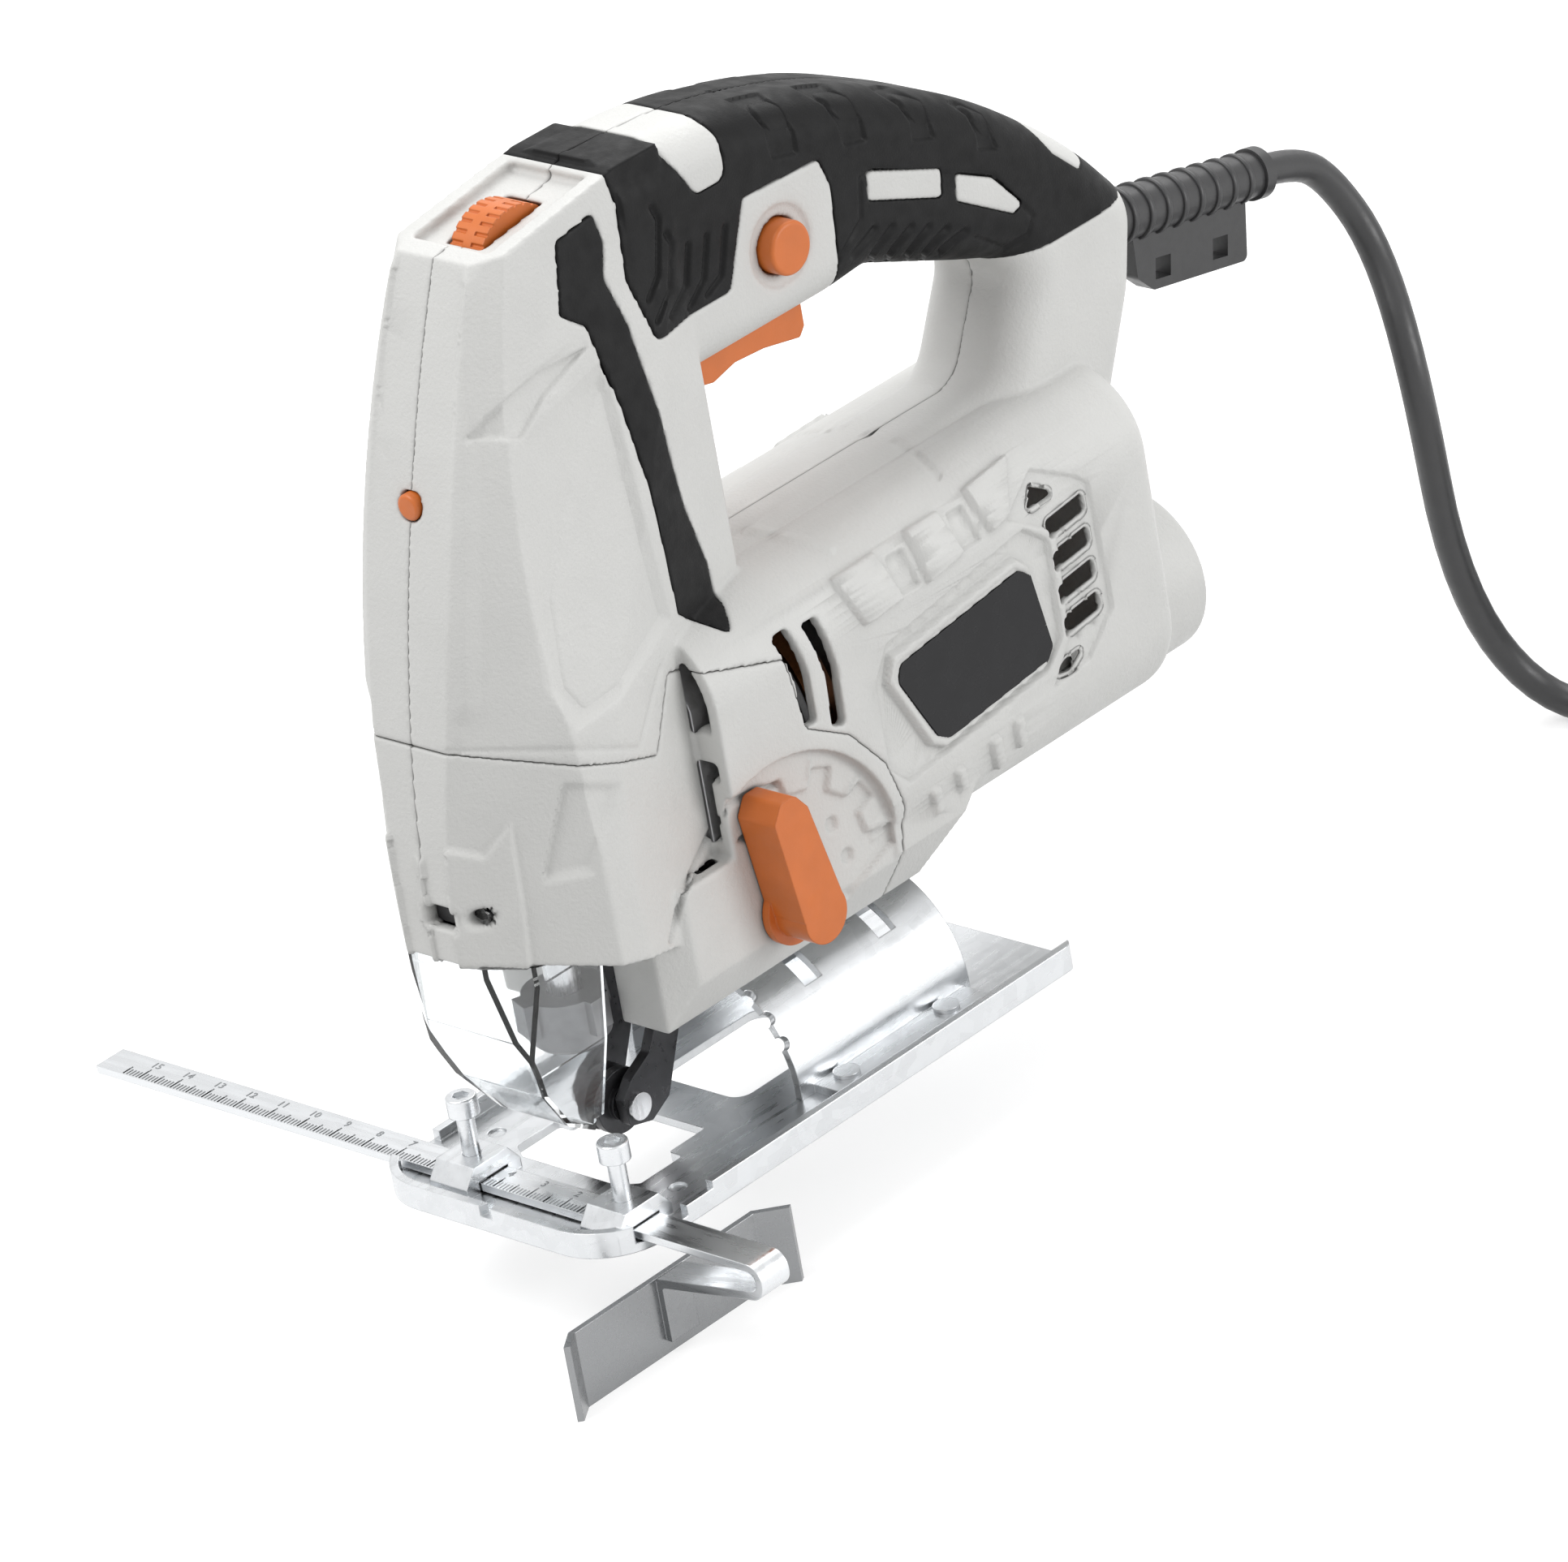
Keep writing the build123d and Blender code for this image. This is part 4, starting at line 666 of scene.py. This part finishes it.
def press_relief(piece, reliefs):
    """Moves the points of the outer face along their normals by the relief that is drawn there."""
    points = points_of(piece.data) / MM
    points[:, 1] += BLADE_LINE
    normals = normals_of(piece.data)
    height = np.zeros(len(points))
    for relief in reliefs:
        for side in relief.sides:
            chosen = np.nonzero(normals[:, 0] * side > SIDE_FACING)[0]
            beyond = np.abs(points[chosen, 0]) - relief.plane
            drawn = np.stack([points[chosen, 1] - DRAWN_SLOPE[0] * beyond,
                              points[chosen, 2] - DRAWN_SLOPE[1] * beyond], axis=1)
            height[chosen] += relief.height(drawn)
    points += normals * height[:, None]
    points[:, 1] -= BLADE_LINE
    piece.data.vertices.foreach_set("co", (points * MM).astype(np.float32).ravel())
    piece.data.update()


def finish_piece(piece, material, body, nodes=()):
    """Gives a piece its material, hangs it on its body and hides the nodes that it stands for."""
    piece.data.materials.clear()
    piece.data.materials.append(material)
    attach(piece, body)
    if nodes:
        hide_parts(*nodes)
    return piece


def mould(node, name, material, reliefs, grid, most):
    """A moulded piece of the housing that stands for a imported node, with its relief pressed in."""
    piece = remeshed(name, node, grid)
    press_relief(piece, reliefs)
    thin_out(piece, most)
    piece.data.shade_smooth()
    finish_piece(piece, material, "housing", [node])


def dress(material, *nodes):
    """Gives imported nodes, whose shape is right, their finish."""
    for node in nodes:
        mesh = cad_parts[node].data
        mesh.materials.clear()
        mesh.materials.append(material)


# ---- Geometry Nodes ----
def grown(name, tree, points, material, **values):
    """A plain mesh that a tree grows from some points, with the tree's inputs set."""
    mesh = bpy.data.meshes.new(name)
    mesh.from_pydata([tuple(point) for point in points], [], [])
    piece = new_piece(name, mesh)
    modifier = piece.modifiers.new(name, "NODES")
    modifier.node_group = tree
    identifiers = {item.name: item.identifier for item in tree.interface.items_tree if item.in_out == "INPUT"}
    for label, value in values.items():
        modifier[identifiers[label]] = value
    modifier[identifiers["Material"]] = material
    piece.update_tag()
    return settle(piece)


@once
def tick_tree():
    """A row of raised bars: Count bars of Size, from Start on, each a Step further, of one Material."""
    tree = bpy.data.node_groups.new("ticks", "GeometryNodeTree")
    tree.interface.new_socket("Geometry", in_out="OUTPUT", socket_type="NodeSocketGeometry")
    for label, kind in (("Geometry", "Geometry"), ("Count", "Int"), ("Start", "Vector"), ("Step", "Vector"),
                        ("Size", "Vector"), ("Material", "Material")):
        tree.interface.new_socket(label, in_out="INPUT", socket_type="NodeSocket" + kind)
    enter, line, bar, copies, realised, painted, leave = (tree.nodes.new(kind) for kind in (
        "NodeGroupInput", "GeometryNodeMeshLine", "GeometryNodeMeshCube", "GeometryNodeInstanceOnPoints",
        "GeometryNodeRealizeInstances", "GeometryNodeSetMaterial", "NodeGroupOutput"))
    line.mode = "OFFSET"
    for giver, output, taker, entry in (
            (enter, "Count", line, "Count"), (enter, "Start", line, "Start Location"),
            (enter, "Step", line, "Offset"), (enter, "Size", bar, "Size"), (line, "Mesh", copies, "Points"),
            (bar, "Mesh", copies, "Instance"), (copies, "Instances", realised, "Geometry"),
            (realised, "Geometry", painted, "Geometry"), (enter, "Material", painted, "Material"),
            (painted, "Geometry", leave, "Geometry")):
        tree.links.new(giver.outputs[output], taker.inputs[entry])
    return tree


def station(x, y, z):
    """A place of the tool's stations, in metres of the frame."""
    return Vector((x, y - BLADE_LINE, z)) * MM


# ---- Stage: the camera as the picture shows it, the lamps and the floor ----
FOCUS_PIXEL = (602.56, 1518.64)       # where the shoe's front edge lies in the 1932 by 1925 picture
PICTURE = (1932.0, 1925.0)
VIEW_AZIMUTH = 46.981
VIEW_ELEVATION = 25.692
VIEW_ROLL = -10.209
VIEW_SCALE = 5.8076                   # pixels to one millimetre at the shoe's front edge
VIEW_DISTANCE = 2152.2
SENSOR = 36.0
CLIP_END = 20.0
LIT_PLACE = (0.0, 110.0, 90.0)        # where the lamps look
LAMPS = [                             # name, direction along the camera's axes, distance, size, energy
    ("key_lamp", (-0.75, 0.75, 0.6), 1.5, 0.9, 12.0),
    ("top_lamp", (0.1, 1.0, -0.2), 1.4, 1.0, 9.0),
    ("side_lamp", (1.0, 0.25, 0.5), 1.6, 0.8, 10.0),
]
WORLD_LIGHT = 0.74                    # strength of the white surroundings as a source of light
FLOOR_GLOW = 0.62
FLOOR_HALF = 6.0                      # half of the floor's side, in metres
FLOOR = -24.5                         # height of the surface that the guide's fence reaches


def view_axes():
    """The camera's right, up and backward directions."""
    turn, lift, roll = (math.radians(value) for value in (VIEW_AZIMUTH, VIEW_ELEVATION, VIEW_ROLL))
    back = Vector((math.sin(turn) * math.cos(lift), -math.cos(turn) * math.cos(lift), math.sin(lift)))
    level = Vector((math.cos(turn), math.sin(turn), 0.0))
    rise = back.cross(level)
    right = math.cos(roll) * level + math.sin(roll) * rise
    up = math.cos(roll) * rise - math.sin(roll) * level
    return right, up, back


def add_camera():
    right, up, back = view_axes()
    place = (-right * (FOCUS_PIXEL[0] - PICTURE[0] / 2) / VIEW_SCALE
             + up * (FOCUS_PIXEL[1] - PICTURE[1] / 2) / VIEW_SCALE + back * VIEW_DISTANCE)
    camera = bpy.data.objects.new("camera", bpy.data.cameras.new("camera"))
    camera.data.sensor_width = SENSOR
    camera.data.sensor_fit = "HORIZONTAL"
    camera.data.lens = VIEW_SCALE * VIEW_DISTANCE * SENSOR / PICTURE[0]
    camera.data.clip_end = CLIP_END
    matrix = Matrix((right, up, back)).transposed().to_4x4()
    matrix.translation = station(*place)
    camera.matrix_world = matrix
    bpy.context.scene.collection.objects.link(camera)
    bpy.context.scene.camera = camera


def facing(direction):
    """The turn that brings the z axis to a direction."""
    return direction.to_track_quat("Z", "Y").to_matrix().to_4x4()


def add_softbox(name, direction, distance, size, energy):
    """A square lamp that looks at the tool from that direction, given along the camera's axes."""
    right, up, back = view_axes()
    toward = (right * direction[0] + up * direction[1] + back * direction[2]).normalized()
    lamp = bpy.data.objects.new(name, bpy.data.lights.new(name, "AREA"))
    lamp.data.shape = "SQUARE"
    lamp.data.size = size
    lamp.data.energy = energy
    lamp.matrix_world = Matrix.Translation(station(*LIT_PLACE) + toward * distance) @ facing(toward)
    bpy.context.scene.collection.objects.link(lamp)


def seen_directly(nodes, links):
    """A factor that is 1 for what the camera, a gloss or a clear piece sees, and 0 for the light."""
    path = nodes.new("ShaderNodeLightPath")
    total = path.outputs["Is Camera Ray"]
    for ray in ("Is Glossy Ray", "Is Transmission Ray"):
        add = nodes.new("ShaderNodeMath")
        add.operation = "MAXIMUM"
        links.new(total, add.inputs[0])
        links.new(path.outputs[ray], add.inputs[1])
        total = add.outputs["Value"]
    return total


def floor_material():
    """A pale floor, white to the eye, that still takes the tool's shadow."""
    material = bpy.data.materials.new("floor")
    material.use_nodes = True
    nodes, links = material.node_tree.nodes, material.node_tree.links
    nodes.clear()
    diffuse = nodes.new("ShaderNodeBsdfDiffuse")
    diffuse.inputs["Color"].default_value = (*colours().backdrop, 1.0)
    glow = nodes.new("ShaderNodeEmission")
    links.new(seen_directly(nodes, links), glow.inputs["Strength"])
    glow.inputs["Color"].default_value = (FLOOR_GLOW, FLOOR_GLOW, FLOOR_GLOW, 1.0)
    both = nodes.new("ShaderNodeAddShader")
    leave = nodes.new("ShaderNodeOutputMaterial")
    links.new(diffuse.outputs["BSDF"], both.inputs[0])
    links.new(glow.outputs["Emission"], both.inputs[1])
    links.new(both.outputs["Shader"], leave.inputs["Surface"])
    return material


def light_world():
    """White surroundings: plain white to the eye, softer as a source of light."""
    world = bpy.data.worlds.new("studio")
    bpy.context.scene.world = world
    world.use_nodes = True
    nodes, links = world.node_tree.nodes, world.node_tree.links
    ground = nodes["Background"]
    ground.inputs["Color"].default_value = (1.0, 1.0, 1.0, 1.0)
    level = nodes.new("ShaderNodeMapRange")
    level.inputs["To Min"].default_value = WORLD_LIGHT
    level.inputs["To Max"].default_value = 1.0
    links.new(seen_directly(nodes, links), level.inputs["Value"])
    links.new(level.outputs["Result"], ground.inputs["Strength"])


# ---- Operators: one for the stage, and one for each group of like pieces ----
class JIGSAW_OT_stage(bpy.types.Operator):
    """Add the pale floor, the soft lamps and the camera"""
    bl_idname = "jigsaw.stage"
    bl_label = "Stage"

    def execute(self, context):
        mesh = bpy.data.meshes.new("floor")
        signs = [(-1, -1), (1, -1), (1, 1), (-1, 1)]
        corners = [(x * FLOOR_HALF, y * FLOOR_HALF, FLOOR * MM) for x, y in signs]
        mesh.from_pydata(corners, [], [(0, 1, 2, 3)])
        floor = new_piece("floor", mesh)
        mesh.materials.append(floor_material())
        light_world()
        for lamp in LAMPS:
            add_softbox(*lamp)
        add_camera()
        context.scene.view_settings.view_transform = "Standard"
        return {"FINISHED"}


class JIGSAW_OT_shells(bpy.types.Operator):
    """Make the moulded halves of the housing and the gear cover, with their relief"""
    bl_idname = "jigsaw.shells"
    bl_label = "Moulded shells"

    def execute(self, context):
        for side in ("left", "right"):
            for part, slot, reliefs in (("housing", "shell", HOUSING_RELIEF),
                                        ("gear_cover", "cover", COVER_RELIEF)):
                node = f"{part}_{side}"
                mould(node, f"{node}_moulding", shell_plastic(), reliefs,
                      sizes().shell_grid, sizes().shell_triangles)
        return {"FINISHED"}


class JIGSAW_OT_grips(bpy.types.Operator):
    """Make the soft grips over the handle and the strips down its throat"""
    bl_idname = "jigsaw.grips"
    bl_label = "Soft grips"

    def execute(self, context):
        for side in ("left", "right"):
            for part, reliefs in (("grip", GRIP_RELIEF), ("throat_strip", [])):
                node = f"{part}_{side}"
                mould(node, f"{node}_rubber", grip_rubber(), reliefs,
                      sizes().grip_grid, sizes().grip_triangles)
        return {"FINISHED"}


class Dressing:
    """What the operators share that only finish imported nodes: a material for each row of nodes."""
    finishes = ()

    def execute(self, context):
        for material, *nodes in self.finishes:
            dress(material(), *nodes)
        return {"FINISHED"}


class JIGSAW_OT_badges(Dressing, bpy.types.Operator):
    """Finish the bare plates on the barrel's sides"""
    bl_idname = "jigsaw.badges"
    bl_label = "Bare plates"
    finishes = ((plate_gloss, "badge_left", "badge_right"),)


class JIGSAW_OT_drive(Dressing, bpy.types.Operator):
    """Finish the motor, its bearings, the gear case and the plunger"""
    bl_idname = "jigsaw.drive"
    bl_label = "Motor and drive"
    finishes = (
        (bright_steel, "armature_shaft", "front_bearing", "tail_bearing", "gear_pin", "plunger"),
        (lamination_steel, "armature_core", "field_core"),
        (winding_copper, "armature_windings", "field_coils", "commutator"),
        (black_plastic, "cooling_fan", "brush_holders", "switch_module", "speed_dial_board"),
        (sintered_steel, "drive_gear", "carbon_brushes"),
        (bearing_bronze, "lower_bush", "upper_bush"),
        (cast_alloy, "gear_case"),
    )


class JIGSAW_OT_blade_guide(Dressing, bpy.types.Operator):
    """Finish the blade clamp, the roller fork and its roller, the clear guard and the working light"""
    bl_idname = "jigsaw.blade_guide"
    bl_label = "Clamp, roller and guard"
    finishes = (
        (sintered_steel, "blade_clamp"),
        (black_oxide, "roller_fork", "fork_pin", "fork_spring", "guide_roller"),
        (bright_steel, "roller_pin"),
        (clear_plastic, "blade_guard", "light_lens"),
        (black_plastic, "working_light"),
    )


class JIGSAW_OT_controls(Dressing, bpy.types.Operator):
    """Finish the levers, buttons and the speed wheel"""
    bl_idname = "jigsaw.controls"
    bl_label = "Levers and buttons"
    finishes = ((accent_plastic, "selector_lever", "trigger", "lock_button", "speed_wheel", "light_button"),)


class JIGSAW_OT_sole(Dressing, bpy.types.Operator):
    """Finish the pressed shoe, its bevel arch and the screws"""
    bl_idname = "jigsaw.sole"
    bl_label = "Shoe and arch"
    finishes = (
        (zinc_plate, "shoe", "bevel_arch", "arch_rivets", "clamp_plate"),
        (black_oxide, "bevel_screws", "housing_screws"),
    )


# The guide's graduations: raised strokes across its bar, a longer one each 5 mm, a number each 10 mm.
BAR_Y = 13.8
BAR_TOP = 4.3
BAR_HALF = 4.2
BAR_ZERO = 32.6                       # place of the zero mark
BAR_MARKS = 155
STROKE = (0.22, 2.2, 0.10)            # width, length and height of the shortest stroke
STROKE_LONGER = {1: 0.0, 5: 0.9, 10: 1.8}
STROKE_INSET = 0.3                    # from the bar's front edge
NUMBER_SIZE = 3.0
NUMBER_THICK = 0.1
NUMBER_PLACE = (1.0, 0.03)            # behind the bar's middle, and over its top


def add_number(work, text, place):
    """Adds a plain raised number to a mesh being made."""
    font = bpy.data.curves.new("number", "FONT")
    font.body = text
    font.size = NUMBER_SIZE * MM
    font.align_x = "CENTER"
    font.extrude = NUMBER_THICK / 2 * MM
    font.resolution_u = 2
    written = bpy.data.objects.new("number", font)
    bpy.context.scene.collection.objects.link(written)
    mesh = bpy.data.meshes.new_from_object(written.evaluated_get(bpy.context.evaluated_depsgraph_get()))
    mesh.transform(Matrix.Translation(place))
    work.from_mesh(mesh)
    bpy.data.objects.remove(written)
    bpy.data.meshes.remove(mesh)


def guide_numbers():
    work = bmesh.new()
    behind, above = NUMBER_PLACE
    for centimetre in range(1, BAR_MARKS // 10 + 1):
        place = station(BAR_ZERO - 10 * centimetre, BAR_Y + behind, BAR_TOP + above)
        add_number(work, str(centimetre), place)
    finish_piece(built_piece("guide_numbers", work), mark_grey(), "parallel_guide")


class JIGSAW_OT_guide(bpy.types.Operator):
    """Finish the parallel guide and raise its graduations"""
    bl_idname = "jigsaw.guide"
    bl_label = "Parallel guide"

    def execute(self, context):
        dress(guide_zinc(), "parallel_guide", "guide_screw_inner", "guide_screw_outer")
        front = BAR_Y - BAR_HALF + STROKE_INSET
        wide, long, tall = STROKE
        for every, longer in STROKE_LONGER.items():
            start = station(BAR_ZERO - every, front + (long + longer) / 2, BAR_TOP + tall / 2)
            size = Vector((wide, long + longer, tall)) * MM
            marks = grown(f"guide_marks_{every}", tick_tree(), [(0.0, 0.0, 0.0)], mark_grey(),
                          Count=BAR_MARKS // every, Start=start, Step=Vector((-every * MM, 0.0, 0.0)),
                          Size=size)
            finish_piece(marks, mark_grey(), "parallel_guide")
        guide_numbers()
        return {"FINISHED"}


# The cord's corners, as stations: straight out of the strain relief, then down to the floor and along it.
CORD_RADIUS = 3.7
CORD_EXIT = (0.0, 282.93, 127.43)
CORD_STRAIGHT = (0.0, 294.71, 125.14)
CORD_FALL = [(1.0, 304.2, 118.1), (6.0, 311.8, 98.8), (25.0, 297.9, 76.0), (15.0, 311.6, 13.3)]
CORD_FLOOR = [(22.0, 326.6), (50.0, 330.1), (76.0, 341.1)]
COIL_RADII = [48.1, 40.7, 33.3, 33.3, 40.7, 48.1, 48.1]      # three turns on the floor, then three on top
COIL_CORNERS = 16                     # control points of one turn
COIL_SHRINK = 0.981                   # how far inside its control points the round line runs
CORD_TAIL = [(26.0, -48.1), (51.0, -52.1)]     # from the coil to the plug, in the coil's own axes

# The strap round the coil.
TIE_WIDE = 12.4                       # half of its width inside
TIE_TALL = 7.4                        # half of its height inside
TIE_SHEET = 0.7
TIE_HALF = 4.0                        # half of its length along the cord
TIE_LIFT = 0.2
TIE_CORNERS = 48

# The ribs of the strain relief, from its first to its last.
RELIEF_RIBS = 9
RIB_START = (0.0, 236.0, 136.55)
RIB_END = (0.0, 281.0, 127.8)
RIB_RADIUS = 6.75                     # of the first
RIB_TAPER = 1.0                       # how much smaller the last one's is
RIB_THICK = 1.5
RIB_ROUND = 0.35
RIB_CORNERS = 40
SHARP = 1.0                           # least angle of an edge that is rounded, in radians


def coil_axes():
    """The coil's centre and its own two axes: the cord comes in along the first, at the second's low end."""
    last, before = Vector(CORD_FLOOR[-1]), Vector(CORD_FLOOR[-2])
    along = (last - before).normalized()
    aside = Vector((-along.y, along.x))
    return last + aside * COIL_RADII[0], along, aside


def coil_point(across, up, layer):
    """A place of the coil, given along its own axes, in that layer of cord."""
    centre, along, aside = coil_axes()
    place = centre + along * across + aside * up
    return (place.x, place.y, FLOOR + CORD_RADIUS * (1 + 2 * layer))


def coil_points():
    """Control points of the coil's turns, each turn easing over to the next one's radius in its last part."""
    points = []
    turns = len(COIL_RADII) - 1
    for i in range(1, turns * COIL_CORNERS):
        turn, step = divmod(i, COIL_CORNERS)
        ease = max(0.0, 4 * step / COIL_CORNERS - 3)
        radius = COIL_RADII[turn] + ease * (COIL_RADII[turn + 1] - COIL_RADII[turn])
        layer = ease if turn == turns // 2 - 1 else float(turn >= turns // 2)
        angle = 2 * math.pi * step / COIL_CORNERS
        reach = radius / COIL_SHRINK
        points.append(coil_point(reach * math.sin(angle), -reach * math.cos(angle), layer))
    return points


def cord_points():
    low = FLOOR + CORD_RADIUS
    floor = [(x, y, low) for x, y in CORD_FLOOR]
    tail = [coil_point(across, up, 1) for across, up in [(0.0, -COIL_RADII[-1]), *CORD_TAIL]]
    return [station(*p) for p in [CORD_EXIT, CORD_STRAIGHT, *CORD_FALL, *floor, *coil_points(), *tail]]


def rounded_share(value):
    """A sine or cosine drawn out, so that a ring of them is a rounded rectangle."""
    return math.copysign(abs(value) ** 0.5, value)


def coil_tie():
    """A strap round the coil's section, opposite the side where the cord comes and goes."""
    work = bmesh.new()
    rings = []
    for depth, lift in ((-TIE_HALF, 0.0), (-TIE_HALF, TIE_SHEET), (TIE_HALF, TIE_SHEET), (TIE_HALF, 0.0)):
        ring = []
        for i in range(TIE_CORNERS):
            angle = 2 * math.pi * i / TIE_CORNERS
            aside = rounded_share(math.cos(angle)) * (TIE_WIDE + lift)
            up = rounded_share(math.sin(angle)) * (TIE_TALL + lift)
            x, y, _ = coil_point(depth, COIL_RADII[1] + aside, 0)
            ring.append(work.verts.new(station(x, y, FLOOR + TIE_TALL + up + TIE_LIFT)))
        rings.append(ring)
    for a, b in zip(rings, rings[1:] + rings[:1]):
        for i in range(TIE_CORNERS):
            j = (i + 1) % TIE_CORNERS
            work.faces.new((a[i], a[j], b[j], b[i]))
    bmesh.ops.recalc_face_normals(work, faces=work.faces)
    piece = built_piece("coil_tie", work)
    piece.data.shade_smooth()
    return finish_piece(piece, black_plastic(), "housing")


def relief_ribs():
    """Flexible ribs along the strain relief, thinner towards the cord."""
    work = bmesh.new()
    start, end = station(*RIB_START), station(*RIB_END)
    for i in range(RELIEF_RIBS):
        share = i / (RELIEF_RIBS - 1)
        radius = (RIB_RADIUS - RIB_TAPER * share) * MM
        place = Matrix.Translation(start.lerp(end, share)) @ facing(end - start)
        bmesh.ops.create_cone(work, cap_ends=True, segments=RIB_CORNERS, radius1=radius, radius2=radius,
                              depth=RIB_THICK * MM, matrix=place)
    sharp = [edge for edge in work.edges if len(edge.link_faces) == 2 and edge.calc_face_angle() > SHARP]
    bmesh.ops.bevel(work, geom=sharp, offset=RIB_ROUND * MM, segments=2, profile=0.5, affect="EDGES")
    piece = built_piece("relief_ribs", work)
    piece.data.shade_smooth()
    return finish_piece(piece, cord_rubber(), "housing")


class JIGSAW_OT_cord(bpy.types.Operator):
    """Lay the cord from its strain relief to the stored coil and the plug"""
    bl_idname = "jigsaw.cord"
    bl_label = "Cord"

    def execute(self, context):
        dress(cord_rubber(), "strain_relief", "plug_body")
        dress(bright_steel(), "plug_pins")
        points = cord_points()
        curve = bpy.data.curves.new("cord_line", "CURVE")
        curve.dimensions = "3D"
        curve.bevel_depth = CORD_RADIUS * MM
        curve.bevel_resolution = 5
        curve.resolution_u = 6
        curve.use_fill_caps = True
        spline = curve.splines.new("NURBS")
        spline.points.add(len(points) - 1)
        for point, place in zip(spline.points, points):
            point.co = (*place, 1.0)
        spline.order_u = 3
        spline.use_endpoint_u = True
        cord = new_piece("cord_line", curve)
        finish_piece(cord, cord_rubber(), "housing", ["cord", "cord_coil", "cord_tail"])
        tie = coil_tie()
        relief_ribs()
        return {"FINISHED"}


class JIGSAW_PT_panel(bpy.types.Panel):
    """Sizes, colours and pieces of the jigsaw"""
    bl_idname = "JIGSAW_PT_panel"
    bl_label = "Jigsaw"
    bl_space_type = "VIEW_3D"
    bl_region_type = "UI"
    bl_category = "Jigsaw"

    def draw(self, context):
        for group in (context.scene.jigsaw_sizes, context.scene.jigsaw_colours):
            box = self.layout.box()
            for word in group.__annotations__:
                box.prop(group, word)
        column = self.layout.column()
        for operator in OPERATORS:
            column.operator(operator.bl_idname)


OPERATORS = (JIGSAW_OT_cord, JIGSAW_OT_stage, JIGSAW_OT_shells, JIGSAW_OT_grips, JIGSAW_OT_badges,
             JIGSAW_OT_drive, JIGSAW_OT_blade_guide, JIGSAW_OT_controls, JIGSAW_OT_sole, JIGSAW_OT_guide)
CLASSES = (JigsawSizes, JigsawColours, *OPERATORS, JIGSAW_PT_panel)


def register():
    for cls in CLASSES:
        bpy.utils.register_class(cls)
    bpy.types.Scene.jigsaw_sizes = PointerProperty(type=JigsawSizes)
    bpy.types.Scene.jigsaw_colours = PointerProperty(type=JigsawColours)


def unregister():
    del bpy.types.Scene.jigsaw_colours
    del bpy.types.Scene.jigsaw_sizes
    for cls in reversed(CLASSES):
        bpy.utils.unregister_class(cls)


def main():
    register()
    for operator in OPERATORS:
        family, name = operator.bl_idname.split(".")
        getattr(getattr(bpy.ops, family), name)()


if __name__ == "__main__":
    main()
